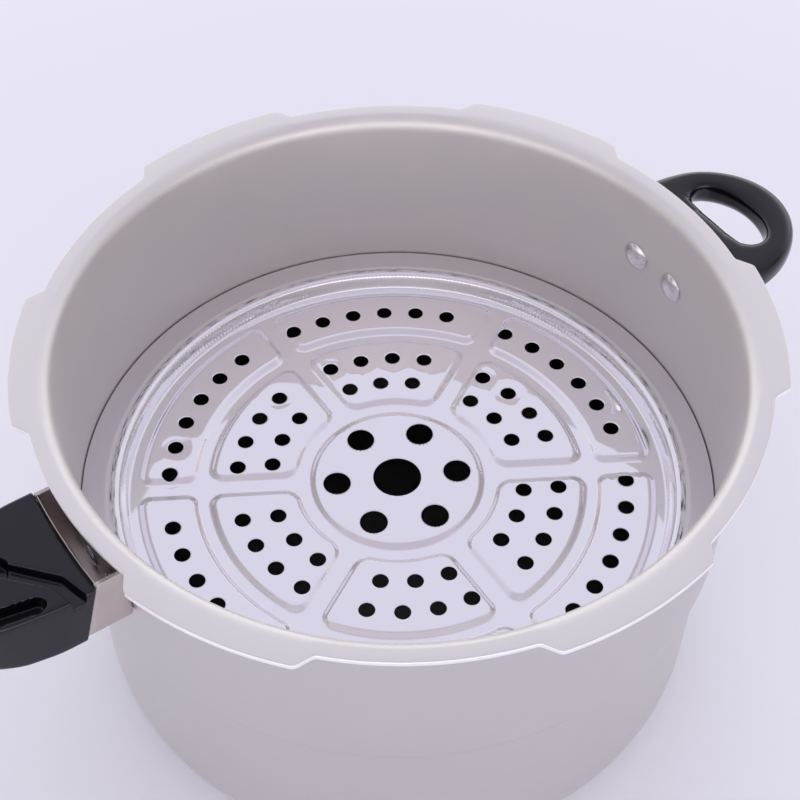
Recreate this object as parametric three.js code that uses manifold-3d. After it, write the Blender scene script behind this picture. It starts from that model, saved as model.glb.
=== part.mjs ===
// A pressure canner with its lid off: a pressed aluminium pot with a bayonet rim, a lift-out steamer rack,
// a phenolic long handle on a stainless channel, and a phenolic helper handle on a steel angle.
// Millimetres, +Z up. The origin is the centre of the flat base, and the long handle points along +X.

import * as THREE from "three";
import { mergeVertices } from "three/addons/utils/BufferGeometryUtils.js";
import Module from "manifold-3d";

const wasm = await Module();
wasm.setup();

// Driving dimensions of the pot
const POT_HEIGHT = 209;
const MOUTH_RADIUS = 160; // inside of the wall, above the step
const WALL = 2.4;
const BASE_THICKNESS = 4;
const STEP_WIDTH = 4.5; // how much narrower the wall is below the step
const STEP_DROP = 5; // from the ledge inside to where the step starts outside
const STEP_SWEEP = 6.5; // height of the step outside
const BASE_CORNER_RADIUS = 22;
const RIM_THICKNESS = 3;
const RIM_INNER_ROUND = 7;
const RIM_NECK_ROUND = 3;
const LUG_REACH = 19.2; // from the inside of the wall to the tip of a lug
const GAP_REACH = 12.4; // from the inside of the wall to the rim between the lugs
const LUG_COUNT = 6;
const LUG_TIP_ANGLE = 25.4; // degrees
const LUG_ROOT_ANGLE = 29.8;

// Driving dimensions of the rack
const RACK_TOP = 108.3; // height of the pad tops above the base
const RACK_SHEET = 1.2;
const PAD_RISE = 2.5; // from the grooves between the pads to the pad tops
const FLANGE_RISE = 4.5; // from the pad tops to the flange
const BEAD_RISE = 1.5; // from the flange to the top of the bead
const RACK_TO_WALL = 0.7;
const RACK_SECTORS = 6;
const FLANGE_WIDTH = 12.5;
const BEAD_WIDTH = 10.3;
const BEAD_TO_PADS = 5;
const OUTER_PAD_WIDTH = 30;
const RING_GROOVE_WIDTH = 5.3; // between the two rings of pads
const DISC_GROOVE_WIDTH = 5.8; // between the inner pads and the disc
const PAD_SPACING = 8; // width of the straight grooves between the pads
const DISC_RADIUS = 44.5;
const INNER_PAD_CORNER = 8;
const OUTER_PAD_CORNER = 6.5;
const HOLE_TWIST = 3.9; // degrees between the hole pattern and the pads
const CENTRE_HOLE_DIAMETER = 24.3;
const MIDDLE_HOLES = { radius: 30.9, diameter: 13.7 };
const STEAM_HOLE_DIAMETER = 8;
const INNER_ROW = { fromPadEdge: 14.3, count: 3, step: 15.1 };
const MIDDLE_ROW = { fromPadEdge: 14.1, count: 4, step: 12.05 };
const OUTER_ROW = { fromPadEdge: 15, count: 6, step: 8.59 };

// Driving dimensions of the long handle and its channel
const HANDLE_DROP = 21; // from the rim's top to the handle's
const HANDLE_STANDOFF = 12.6; // from the wall to the top of the handle's end face
const HANDLE_LENGTH = 193;
const HANDLE_ROOT_DEPTH = 33;
const HANDLE_GRIP_WIDTH = 36;
const HANDLE_GRIP_DEPTH = 22;
const END_FACE_SLOPE = 9.6; // how far the foot of the end face leans away from the pot
const CHANNEL_WIDTH = 60;
const CHANNEL_SHEET = 2;
const CHANNEL_FRONT = 1; // thickness of the plate that the handle's end butts against
const CHANNEL_LIFT = 5; // from the handle's underside to the underside of the channel's floor
const CHANNEL_SKIRT = 4; // how far the channel's sides hang below its floor
const HANDLE_LAP = 2; // how far the handle stands out past each side of the channel
const TANG_WIDTH = 24;
const TANG_THICKNESS = 4;
const TANG_LENGTH = 58;
const TANG_TO_WALL = 8;
const HANDLE_SCREWS = [24, 40]; // from the start of the tang
const TANG_RIVET_PLACE = 4.5; // from the start of the tang
const TANG_RIVET_SPACING = 14;
// The handle's sides from above: distances from its end face, and how far they are in from the root's
// width or out from the grip's
const SIDE_LINE = { straight: 16, eased: 42, easing: 3.5, narrowed: 66, shoulder: 2.5, grip: 90 };
const GRIP_WAIST = { fromEnd: 50, narrowing: 1 };
// The handle's top and underside: distances from its end face, and heights from its top or underside
const TOP_LINE = { level: 56, dipped: 84, dip: 4 };
const UNDER_LINE = { level: 38, lift: 0.6, swept: 54, sweep: 3, grip: 78 };
const NOSE_LINE = { under: 40, rise: 6, lowLift: 4, highLift: 9, shoulder: 5, crown: 7 };
const CAM_GROOVE = { width: 7, depth: 5 };
const CAM_SEAT = { diameter: 12, depth: 7 };
const LOCK_SLOT = { width: 9, depth: 7 };
const HANGING_HOLE = { length: 22, width: 9, fromEnd: 20 };

// Driving dimensions of the helper handle
const EAR_DROP = 24.5; // from the rim's top to the helper handle's
const EAR_THICKNESS = 17;
const EAR_STANDOUT = 77.6; // from the wall to the outermost point
const EAR_HALF_WIDTH = 43;
const EAR_SHOULDER_STANDOUT = 27.6; // from the wall to where the outline starts to curve in
const EAR_ROOT_DEPTH = 27;
const EAR_ROOT_TO_HOLE = 10; // from the deep root to the finger hole
const EAR_ROOT_INSET = 5; // how much narrower the deep root is than the loop, on each side
const EAR_ROOT_TAPER = 3; // how much narrower the loop is at the wall than at its shoulder, on each side
const EAR_EDGE_ROUND = 5;
const FINGER_HOLE = { fromWall: 36.6, depth: 22, halfWidth: 24 };
const EAR_ANGLE = { width: 48, depth: 22, height: 24, sheet: 2 };
const EAR_SCREW_SPACING = 30;
const EAR_SCREW_FROM_WALL = 13.5;
const EAR_SCREW_BITE = 9;

// Driving dimensions of the fasteners
const RIVET = { shank: 6, innerHead: 15.5, innerRise: 3.2, outerHead: 11, outerRise: 1.4 };
const EAR_RIVET_SPACING = 28.2;
const EAR_RIVET_RISE = 10.3; // from the angle's leg to the rivets' middles
const HANDLE_RIVET_COUNT = 3;
const RIVET_TO_SIDE = 3.5; // from an outer head to the channel's side
const RIVET_TO_FLOOR = 1; // from an outer head to the channel's floor
const SCREW_PAST_TANG = 2;
const SCREW_SEAT = 4.4; // from the handle's underside up to where its washers seat
const SCREW = { shank: 6, head: 11, headRise: 2.4, slot: 1.2 };
const WASHER = { outer: 12, thickness: 1 };
const TANG_RIVET = { shank: 5, head: 8.5, rise: 1.2 };

// Clearances
const GAP = 0.3; // between pieces that touch
const HOLE_CLEARANCE = 0.25; // radial, around shanks

// Fineness
const TURN = 72; // facets round the pot
const RACK_TURN = 48; // facets round the rack
const FINE_TURN = 16; // facets round a fastener
const RAD = Math.PI / 180;

// Derived places
const RIM_UNDER = POT_HEIGHT - RIM_THICKNESS;
const OUTER_RADIUS = MOUTH_RADIUS + WALL;
const LOWER_OUTER = OUTER_RADIUS - STEP_WIDTH;
const LOWER_INNER = MOUTH_RADIUS - STEP_WIDTH;
const INSIDE_WALL = MOUTH_RADIUS - 12; // where pieces that are cut to fit the wall start
const LUG_RADIUS = MOUTH_RADIUS + LUG_REACH;
const GAP_RADIUS = MOUTH_RADIUS + GAP_REACH;
const GROOVE_TOP = RACK_TOP - PAD_RISE;
const FLANGE_TOP = RACK_TOP + FLANGE_RISE;
const LEDGE = FLANGE_TOP - RACK_SHEET - GAP;
const RACK_RADIUS = MOUTH_RADIUS - RACK_TO_WALL;
const BEAD_START = RACK_RADIUS - FLANGE_WIDTH - BEAD_WIDTH;
const OUTER_PAD_EDGE = BEAD_START - BEAD_TO_PADS;
const OUTER_PAD = {
  inner: OUTER_PAD_EDGE - OUTER_PAD_WIDTH,
  outer: OUTER_PAD_EDGE,
  corner: OUTER_PAD_CORNER,
};
const INNER_PAD = {
  inner: DISC_RADIUS + DISC_GROOVE_WIDTH,
  outer: OUTER_PAD.inner - RING_GROOVE_WIDTH,
  corner: INNER_PAD_CORNER,
};
const STEAM_ROWS = [
  { ...INNER_ROW, radius: INNER_PAD.inner + INNER_ROW.fromPadEdge },
  { ...MIDDLE_ROW, radius: INNER_PAD.outer - MIDDLE_ROW.fromPadEdge },
  { ...OUTER_ROW, radius: OUTER_PAD.outer - OUTER_ROW.fromPadEdge },
];
const HANDLE_TOP = POT_HEIGHT - HANDLE_DROP;
const HANDLE_BOTTOM = HANDLE_TOP - HANDLE_ROOT_DEPTH;
const HANDLE_ROOT = OUTER_RADIUS + HANDLE_STANDOFF;
const HANDLE_END = HANDLE_ROOT + HANDLE_LENGTH;
const HANDLE_ROOT_WIDTH = CHANNEL_WIDTH + 2 * HANDLE_LAP;
const CHANNEL_BOTTOM = HANDLE_BOTTOM + CHANNEL_LIFT;
const CHANNEL_FLOOR = CHANNEL_BOTTOM + CHANNEL_SHEET;
const TANG_BOTTOM = CHANNEL_FLOOR + GAP;
const TANG_TOP = TANG_BOTTOM + TANG_THICKNESS;
const TANG_START = OUTER_RADIUS + TANG_TO_WALL;
const HANDLE_RIVETS = {
  height: CHANNEL_FLOOR + RIVET.outerHead / 2 + RIVET_TO_FLOOR,
  spacing: CHANNEL_WIDTH / 2 - CHANNEL_SHEET - RIVET.outerHead / 2 - RIVET_TO_SIDE,
  count: HANDLE_RIVET_COUNT,
};
const EAR_TOP = POT_HEIGHT - EAR_DROP;
const EAR_REACH = OUTER_RADIUS + EAR_STANDOUT;
const EAR_SHOULDER = OUTER_RADIUS + EAR_SHOULDER_STANDOUT;
const HOLE_INNER = OUTER_RADIUS + FINGER_HOLE.fromWall;
const HOLE_OUTER = HOLE_INNER + FINGER_HOLE.depth;
const EAR_ROOT_BOTTOM = EAR_TOP - EAR_ROOT_DEPTH;
const EAR_LEG_TOP = EAR_ROOT_BOTTOM - GAP;
const EAR_LEG_BOTTOM = EAR_LEG_TOP - EAR_ANGLE.sheet;
const EAR_RIVETS = { height: EAR_LEG_TOP + EAR_RIVET_RISE, spacing: EAR_RIVET_SPACING, count: 2 };
const PLATE_INNER = OUTER_RADIUS + GAP;

const materials = {
  satinAluminium: () => new THREE.MeshStandardMaterial({ color: 0xcfccc9, roughness: 0.5, metalness: 0.9 }),
  polished: () => new THREE.MeshStandardMaterial({ color: 0xe6e4ea, roughness: 0.08, metalness: 1 }),
  stainless: () => new THREE.MeshStandardMaterial({ color: 0xb9b4b0, roughness: 0.25, metalness: 1 }),
  phenolic: () => new THREE.MeshStandardMaterial({ color: 0x1b1b20, roughness: 0.35, metalness: 0 }),
  steel: () => new THREE.MeshStandardMaterial({ color: 0xa9a9ac, roughness: 0.35, metalness: 1 }),
};

// Geometry helpers

/** Signed volume of an indexed geometry, positive when its faces point out. */
function signedVolume(geometry) {
  const place = geometry.getAttribute("position");
  const index = geometry.getIndex().array;
  const [a, b, c] = [new THREE.Vector3(), new THREE.Vector3(), new THREE.Vector3()];
  let sum = 0;
  for (let i = 0; i < index.length; i += 3) {
    a.fromBufferAttribute(place, index[i]);
    b.fromBufferAttribute(place, index[i + 1]);
    c.fromBufferAttribute(place, index[i + 2]);
    sum += a.dot(b.cross(c)) / 6;
  }
  return sum;
}

/** A closed geometry as a solid: vertices merged, slivers of no area dropped, faces pointing out. */
function toSolid(geometry) {
  const bare = geometry.clone();
  bare.deleteAttribute("normal");
  bare.deleteAttribute("uv");
  const merged = mergeVertices(bare, 1e-4);
  const index = merged.getIndex().array;
  const kept = [];
  for (let i = 0; i < index.length; i += 3) {
    const [a, b, c] = [index[i], index[i + 1], index[i + 2]];
    if (a !== b && b !== c && c !== a) kept.push(a, b, c);
  }
  merged.setIndex(kept);
  if (signedVolume(merged) < 0) {
    for (let i = 0; i < kept.length; i += 3) [kept[i], kept[i + 1]] = [kept[i + 1], kept[i]];
  }
  const vertProperties = new Float32Array(merged.getAttribute("position").array);
  return new wasm.Manifold(new wasm.Mesh({ numProp: 3, vertProperties, triVerts: new Uint32Array(kept) }));
}

/** A solid as a geometry again. */
function toGeometry(solid) {
  const mesh = solid.getMesh();
  const geometry = new THREE.BufferGeometry();
  geometry.setAttribute("position", new THREE.BufferAttribute(new Float32Array(mesh.vertProperties), 3));
  geometry.setIndex(Array.from(mesh.triVerts));
  geometry.computeVertexNormals();
  return geometry;
}

/** Points on an arc about (x, y), angles in degrees, both ends included. */
function arc(x, y, radius, start, end, steps) {
  return Array.from({ length: steps + 1 }, (_, i) => {
    const angle = (start + ((end - start) * i) / steps) * RAD;
    return [x + radius * Math.cos(angle), y + radius * Math.sin(angle)];
  });
}

/** A profile of [radius, height] pairs turned about Z. */
function turned(profile, facets) {
  const points = profile.map(([radius, height]) => new THREE.Vector2(radius, height));
  return toSolid(new THREE.LatheGeometry(points, facets).rotateX(Math.PI / 2));
}

/** An outline of [x, y] pairs raised from bottom to top. */
function raised(outline, bottom, top) {
  const shape = new THREE.Shape(outline.map(([x, y]) => new THREE.Vector2(x, y)));
  const geometry = new THREE.ExtrudeGeometry(shape, { depth: top - bottom, bevelEnabled: false, steps: 1 });
  return toSolid(geometry.translate(0, 0, bottom));
}

/** An outline with its rims rounded over by round millimetres, from bottom to top. */
function raisedRounded(outline, bottom, top, round, segments) {
  const shape = new THREE.Shape(outline.map(([x, y]) => new THREE.Vector2(x, y)));
  const geometry = new THREE.ExtrudeGeometry(shape, {
    depth: top - bottom - 2 * round,
    bevelEnabled: true,
    bevelThickness: round,
    bevelSize: round,
    bevelOffset: -round,
    bevelSegments: segments,
    steps: 1,
  });
  return toSolid(geometry.translate(0, 0, bottom + round));
}

/** An outline of [x, z] pairs carried along Y, centred on y = 0. */
function carriedAcross(outline, width) {
  return raised(outline, -width / 2, width / 2).rotate([90, 0, 0]);
}

/** A block between two corners. */
function block(low, high) {
  const size = high.map((value, i) => value - low[i]);
  const middle = high.map((value, i) => (value + low[i]) / 2);
  return toSolid(new THREE.BoxGeometry(...size).translate(...middle));
}

/** An upright round bar. */
function bar(x, y, bottom, top, radius, facets = FINE_TURN) {
  return turned([[0, bottom], [radius, bottom], [radius, top], [0, top]], facets).translate([x, y, 0]);
}

/** A round bar that lies along X. */
function barAlongX(from, to, y, z, radius) {
  return bar(0, 0, from, to, radius).rotate([0, 90, 0]).translate([0, y, z]);
}

/** Copies of a solid turned about Z by equal steps, as a list. */
function roundAbout(solid, count, start = 0) {
  return Array.from({ length: count }, (_, i) => solid.rotate([0, 0, start + (360 * i) / count]));
}

const cutAll = (solid, cutters) => cutters.reduce((rest, cutter) => rest.subtract(cutter), solid);
const joinAll = (solid, others) => others.reduce((whole, other) => whole.add(other), solid);

/** A plain disc as wide and high as the pot's wall, for fitting pieces against it. */
function wallDisc(radius, bottom, top) {
  return bar(0, 0, bottom, top, radius, TURN);
}

// The pot

/** Half section of the pot: outside from the base up, over the rim, and down the inside. */
function potProfile() {
  const stepFoot = LEDGE - STEP_DROP;
  const innerCorner = BASE_CORNER_RADIUS - BASE_THICKNESS;
  const neck = RIM_NECK_ROUND;
  const edge = RIM_THICKNESS / 2;
  return [
    [0, 0],
    ...arc(LOWER_OUTER - BASE_CORNER_RADIUS, BASE_CORNER_RADIUS, BASE_CORNER_RADIUS, -90, 0, 5),
    [LOWER_OUTER, stepFoot],
    [OUTER_RADIUS, LEDGE + STEP_SWEEP - STEP_DROP],
    ...arc(OUTER_RADIUS + neck, RIM_UNDER - neck, neck, 180, 90, 3),
    ...arc(LUG_RADIUS - edge, RIM_UNDER + edge, edge, -90, 90, 4),
    ...arc(MOUTH_RADIUS + RIM_INNER_ROUND, POT_HEIGHT - RIM_INNER_ROUND, RIM_INNER_ROUND, 90, 180, 4),
    [MOUTH_RADIUS, LEDGE],
    [MOUTH_RADIUS - STEP_WIDTH * 0.7, LEDGE],
    [LOWER_INNER, LEDGE - 4],
    ...arc(LOWER_INNER - innerCorner, BASE_THICKNESS + innerCorner, innerCorner, 0, -90, 4),
    [0, BASE_THICKNESS],
  ];
}

/** What is cut from the rim between two lugs, centred on +X. */
function rimNotch() {
  const rootHalf = (360 / LUG_COUNT - LUG_ROOT_ANGLE) / 2;
  const tipHalf = (360 / LUG_COUNT - LUG_TIP_ANGLE) / 2;
  const beyond = LUG_RADIUS + 8;
  const flare = tipHalf + ((tipHalf - rootHalf) * (beyond - LUG_RADIUS)) / (LUG_RADIUS - GAP_RADIUS);
  const outline = [...arc(0, 0, GAP_RADIUS, -rootHalf, rootHalf, 8), ...arc(0, 0, beyond, flare, -flare, 4)];
  return raised(outline, RIM_UNDER - 2, POT_HEIGHT + 2);
}

/** Directions of a row of rivets, in degrees about Z, evenly spaced along the wall and centred on +X. */
function rivetAngles({ spacing, count }) {
  return Array.from({ length: count }, (_, i) => ((i - (count - 1) / 2) * spacing) / (MOUTH_RADIUS * RAD));
}

function rivetHoles(row) {
  const radius = RIVET.shank / 2 + HOLE_CLEARANCE;
  const hole = barAlongX(MOUTH_RADIUS - 12, OUTER_RADIUS + 12, 0, row.height, radius);
  return rivetAngles(row).map((angle) => hole.rotate([0, 0, angle]));
}

function potBody() {
  const shell = cutAll(turned(potProfile(), TURN), roundAbout(rimNotch(), LUG_COUNT));
  const earHoles = rivetHoles(EAR_RIVETS).map((hole) => hole.rotate([0, 0, 180]));
  return cutAll(shell, [...rivetHoles(HANDLE_RIVETS), ...earHoles]);
}

// The rack

/** Half section of the rack's sheet, without its pads. */
function rackProfile() {
  const slope = PAD_RISE;
  const bead = FLANGE_TOP + BEAD_RISE;
  const crest = BEAD_START + BEAD_WIDTH * 0.6;
  const top = [
    [0, RACK_TOP],
    [DISC_RADIUS - slope, RACK_TOP],
    [DISC_RADIUS, GROOVE_TOP],
    [BEAD_START, GROOVE_TOP],
    [crest - BEAD_WIDTH * 0.2, bead - 1.1],
    [crest, bead],
    [crest + BEAD_WIDTH * 0.22, bead - 0.7],
    [BEAD_START + BEAD_WIDTH, FLANGE_TOP],
    [RACK_RADIUS, FLANGE_TOP],
  ];
  const lower = (radius, height, shift) => [radius + shift, height - RACK_SHEET];
  const shifts = [0, -0.4, -0.4, 0.7, 0.7, 0, -0.5, -0.4, 0];
  const bottom = top.map(([radius, height], i) => lower(radius, height, shifts[i])).reverse();
  return [...top, ...bottom];
}

/** Outline of a pad centred on +X: two arcs about the axis, and two sides along the straight grooves. */
function padOutline({ inner, outer, corner }, inset) {
  const half = 180 / RACK_SECTORS;
  const round = Math.max(corner - inset, 1);
  const aside = PAD_SPACING / 2 + inset + round;
  const centreAt = (distance) => {
    const along = Math.sqrt(distance * distance - aside * aside);
    return [along * Math.cos(half * RAD) + aside * Math.sin(half * RAD),
      along * Math.sin(half * RAD) - aside * Math.cos(half * RAD)];
  };
  const far = centreAt(outer - inset - round);
  const near = centreAt(inner + inset + round);
  const farAngle = Math.atan2(far[1], far[0]) / RAD;
  const nearAngle = Math.atan2(near[1], near[0]) / RAD;
  const upper = [
    ...arc(0, 0, outer - inset, 0, farAngle, 3).slice(0, -1),
    ...arc(far[0], far[1], round, farAngle, half + 90, 2),
    ...arc(near[0], near[1], round, half + 90, nearAngle + 180, 2),
    ...arc(0, 0, inner + inset, nearAngle, 0, 2).slice(1),
  ];
  const mirrored = upper.slice(1, -1).map(([x, y]) => [x, -y]).reverse();
  return [...upper, ...mirrored];
}

/** A pad as a flat lens whose sides slope at 45 degrees from its foot, centred on its foot's height. */
function padLens(pad) {
  const shape = new THREE.Shape(padOutline(pad, PAD_RISE).map(([x, y]) => new THREE.Vector2(x, y)));
  return toSolid(new THREE.ExtrudeGeometry(shape, {
    depth: 0,
    bevelEnabled: true,
    bevelThickness: PAD_RISE,
    bevelSize: PAD_RISE,
    bevelSegments: 1,
    steps: 1,
  }).translate(0, 0, GROOVE_TOP));
}

function rackHoles() {
  const drill = (radius, angle, diameter, facets) => {
    const [x, y] = [radius * Math.cos(angle * RAD), radius * Math.sin(angle * RAD)];
    return bar(x, y, RACK_TOP - 10, RACK_TOP + 5, diameter / 2, facets);
  };
  const holes = [drill(0, 0, CENTRE_HOLE_DIAMETER, 24)];
  for (let sector = 0; sector < RACK_SECTORS; sector += 1) {
    const middle = (360 / RACK_SECTORS) * sector + HOLE_TWIST;
    holes.push(drill(MIDDLE_HOLES.radius, middle + 180 / RACK_SECTORS, MIDDLE_HOLES.diameter, 12));
    for (const row of STEAM_ROWS) {
      for (let i = 0; i < row.count; i += 1) {
        const angle = middle + (i - (row.count - 1) / 2) * row.step;
        holes.push(drill(row.radius, angle, STEAM_HOLE_DIAMETER, 8));
      }
    }
  }
  return holes;
}

function steamerRack() {
  const lenses = [INNER_PAD, OUTER_PAD].flatMap((pad) => roundAbout(padLens(pad), RACK_SECTORS));
  const raisedSheet = joinAll(turned(rackProfile(), RACK_TURN), lenses);
  const hollowed = cutAll(raisedSheet, lenses.map((lens) => lens.translate([0, 0, -RACK_SHEET])));
  return cutAll(hollowed, rackHoles());
}

// The fasteners

/** A rivet along +X through the wall and a plate on it, with its larger domed head inside the pot. */
function wallRivet(row, angle, plateOuter) {
  const head = RIVET.innerHead / 2;
  const tail = RIVET.outerHead / 2;
  const facetSag = MOUTH_RADIUS * (1 - Math.cos(Math.PI / TURN));
  const seat = Math.sqrt(MOUTH_RADIUS ** 2 - head ** 2) - facetSag - GAP;
  const length = plateOuter + GAP - seat;
  const dome = arc(0, 0, 1, 80, 0, 4).map(([along, up]) => [head * along, -RIVET.innerRise * up]);
  const profile = [
    [0, -RIVET.innerRise],
    ...dome,
    [RIVET.shank / 2, 0],
    [RIVET.shank / 2, length],
    [tail, length],
    [tail * 0.8, length + RIVET.outerRise],
    [0, length + RIVET.outerRise],
  ];
  return turned(profile, FINE_TURN).rotate([0, 90, 0]).translate([seat, 0, row.height]).rotate([0, 0, angle]);
}

/** A slotted screw that points up. Its head's top is at height z. */
function screw(x, y, z, length) {
  const head = SCREW.head / 2;
  const slotFloor = z - SCREW.headRise / 2;
  const half = SCREW.slot / 2;
  const slot = block([x - head, y - half, z - SCREW.headRise - 1], [x + head, y + half, slotFloor]);
  const profile = [
    [0, z - SCREW.headRise],
    [head * 0.7, z - SCREW.headRise],
    [head, z - SCREW.headRise / 2],
    [head, z],
    [SCREW.shank / 2, z],
    [SCREW.shank / 2, z + length],
    [0, z + length],
  ];
  return turned(profile, FINE_TURN).translate([x, y, 0]).subtract(slot);
}

/** A plain washer whose underside is at height z. */
function washer(x, y, z) {
  const inner = SCREW.shank / 2 + HOLE_CLEARANCE;
  const outer = WASHER.outer / 2;
  const top = z + WASHER.thickness;
  const profile = [[inner, z], [outer, z], [outer, top], [inner, top], [inner, z]];
  return turned(profile, FINE_TURN).translate([x, y, 0]);
}

/** A hole for a screw's shank, upright. */
function screwHole(x, y, bottom, top) {
  return bar(x, y, bottom, top, SCREW.shank / 2 + HOLE_CLEARANCE);
}

// The long handle

/** Outline of the handle from above. */
function handlePlan() {
  const root = HANDLE_ROOT_WIDTH / 2;
  const grip = HANDLE_GRIP_WIDTH / 2;
  const side = [
    [HANDLE_ROOT - 4, root],
    [HANDLE_ROOT + SIDE_LINE.straight, root],
    [HANDLE_ROOT + SIDE_LINE.eased, root - SIDE_LINE.easing],
    [HANDLE_ROOT + SIDE_LINE.narrowed, grip + SIDE_LINE.shoulder],
    [HANDLE_ROOT + SIDE_LINE.grip, grip],
    [HANDLE_END - GRIP_WAIST.fromEnd, grip - GRIP_WAIST.narrowing],
  ];
  const upper = [...side, ...arc(HANDLE_END - grip, 0, grip, 90, 0, 6)];
  return [...upper, ...upper.slice(0, -1).map(([x, y]) => [x, -y]).reverse()];
}

/** How far the handle's end face has leaned away from the pot at a height. */
function endFaceAt(height) {
  return HANDLE_ROOT + (END_FACE_SLOPE * (HANDLE_TOP - height)) / HANDLE_ROOT_DEPTH;
}

/** Outline of the handle from the side, [distance from the axis, height]. */
function handleSide() {
  const gripTop = HANDLE_TOP - TOP_LINE.dip;
  const gripBottom = gripTop - HANDLE_GRIP_DEPTH;
  return [
    [HANDLE_ROOT, HANDLE_TOP],
    [endFaceAt(HANDLE_BOTTOM), HANDLE_BOTTOM],
    [HANDLE_ROOT + UNDER_LINE.level, HANDLE_BOTTOM + UNDER_LINE.lift],
    [HANDLE_ROOT + UNDER_LINE.swept, HANDLE_BOTTOM + UNDER_LINE.sweep],
    [HANDLE_ROOT + UNDER_LINE.grip, gripBottom],
    [HANDLE_END - NOSE_LINE.under, gripBottom],
    [HANDLE_END - NOSE_LINE.rise, gripBottom + NOSE_LINE.lowLift],
    [HANDLE_END, gripBottom + NOSE_LINE.highLift],
    [HANDLE_END, gripTop - NOSE_LINE.shoulder],
    [HANDLE_END - NOSE_LINE.crown, gripTop],
    [HANDLE_ROOT + TOP_LINE.dipped, gripTop],
    [HANDLE_ROOT + TOP_LINE.level, HANDLE_TOP],
  ];
}

/** A channel with round ends that follows points in plan, cut down from the handle's top. */
function sunkTrack(points, width, depth) {
  const floor = HANDLE_TOP - depth;
  const above = HANDLE_TOP + 4;
  const spots = points.map(([x, y]) => bar(x, y, floor, above, width / 2));
  const runs = points.slice(1).map(([x, y], i) => {
    const [fromX, fromY] = points[i];
    const run = block([0, -width / 2, floor], [Math.hypot(x - fromX, y - fromY), width / 2, above]);
    return run.rotate([0, 0, Math.atan2(y - fromY, x - fromX) / RAD]).translate([fromX, fromY, 0]);
  });
  return joinAll(spots[0], [...spots.slice(1), ...runs]);
}

/** The lid-lock recesses in the handle's top: a round seat with a groove to the edge, and a slot. */
function handleRecesses() {
  const seat = [HANDLE_ROOT + 32, -3];
  const half = HANDLE_ROOT_WIDTH / 2;
  const camPath = [seat, [HANDLE_ROOT + 12, half - 13], [HANDLE_ROOT + 6, half + 6]];
  const slotPath = [[HANDLE_ROOT + 25, half - 7.5], [HANDLE_ROOT + 44, half - 11]];
  return [
    sunkTrack(camPath, CAM_GROOVE.width, CAM_GROOVE.depth),
    bar(...seat, HANDLE_TOP - CAM_SEAT.depth, HANDLE_TOP + 4, CAM_SEAT.diameter / 2),
    sunkTrack(slotPath, LOCK_SLOT.width, LOCK_SLOT.depth),
  ];
}

const screwPlaces = HANDLE_SCREWS.map((place) => TANG_START + place);
const screwSeat = HANDLE_BOTTOM + SCREW_SEAT;

/** The eye near the handle's tip. */
function hangingEye() {
  const middle = HANDLE_END - HANGING_HOLE.fromEnd;
  const round = HANGING_HOLE.width / 2;
  const reach = HANGING_HOLE.length / 2 - round;
  const farEnd = arc(middle + reach, 0, round, -90, 90, 6);
  const outline = [...farEnd, ...arc(middle - reach, 0, round, 90, 270, 6)];
  return raised(outline, HANDLE_BOTTOM - 10, HANDLE_TOP + 10);
}

function longHandle() {
  const plan = raised(handlePlan(), HANDLE_BOTTOM - 4, HANDLE_TOP + 4);
  const body = plan.intersect(carriedAcross(handleSide(), HANDLE_ROOT_WIDTH + 4));
  const tangHalf = TANG_WIDTH / 2 + GAP;
  const pocket = block([HANDLE_ROOT - 6, -tangHalf, TANG_BOTTOM - GAP],
    [TANG_START + TANG_LENGTH + 1, tangHalf, TANG_TOP + GAP]);
  const bores = screwPlaces.flatMap((x) => [
    screwHole(x, 0, HANDLE_BOTTOM - 4, TANG_TOP + 4),
    bar(x, 0, HANDLE_BOTTOM - 4, screwSeat, WASHER.outer / 2 + HOLE_CLEARANCE * 2),
  ]);
  return cutAll(body, [pocket, hangingEye(), ...bores, ...handleRecesses()]);
}

/** A slab across the channel, out to a plane a little short of the handle's leaning end face. */
function leaningSlab(width, bottom, top, shortfall) {
  return carriedAcross([
    [INSIDE_WALL, top],
    [INSIDE_WALL, bottom],
    [endFaceAt(bottom) - shortfall, bottom],
    [endFaceAt(top) - shortfall, top],
  ], width);
}

/** The open-topped channel between the wall and the handle: a curved back, a floor, two sides and a front. */
function handleBracket() {
  const skirtEdge = CHANNEL_BOTTOM - CHANNEL_SKIRT;
  const whole = leaningSlab(CHANNEL_WIDTH, skirtEdge, HANDLE_TOP, GAP);
  const roomWidth = CHANNEL_WIDTH - 2 * CHANNEL_SHEET;
  const room = leaningSlab(roomWidth, CHANNEL_FLOOR, HANDLE_TOP + 1, GAP + CHANNEL_FRONT);
  const below = leaningSlab(roomWidth, skirtEdge - 1, CHANNEL_BOTTOM, GAP + CHANNEL_FRONT);
  const back = wallDisc(PLATE_INNER + CHANNEL_SHEET, skirtEdge - 2, HANDLE_TOP + 2);
  const rivetHole = TANG_RIVET.shank / 2 + HOLE_CLEARANCE;
  const tangHalf = TANG_WIDTH / 2 + GAP;
  const tangWay = block([TANG_START, -tangHalf, CHANNEL_FLOOR], [HANDLE_ROOT + 20, tangHalf, TANG_TOP + GAP]);
  return cutAll(whole, [
    wallDisc(PLATE_INNER, skirtEdge - 1, HANDLE_TOP + 1),
    room.subtract(back),
    below.subtract(back),
    tangWay,
    ...rivetHoles(HANDLE_RIVETS),
    ...tangRivetPlaces.map(([x, y]) => bar(x, y, CHANNEL_BOTTOM - 1, CHANNEL_FLOOR + 1, rivetHole)),
  ]);
}

const tangRivetX = TANG_START + TANG_RIVET_PLACE;
const tangRivetPlaces = [-TANG_RIVET_SPACING / 2, TANG_RIVET_SPACING / 2].map((y) => [tangRivetX, y]);

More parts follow.
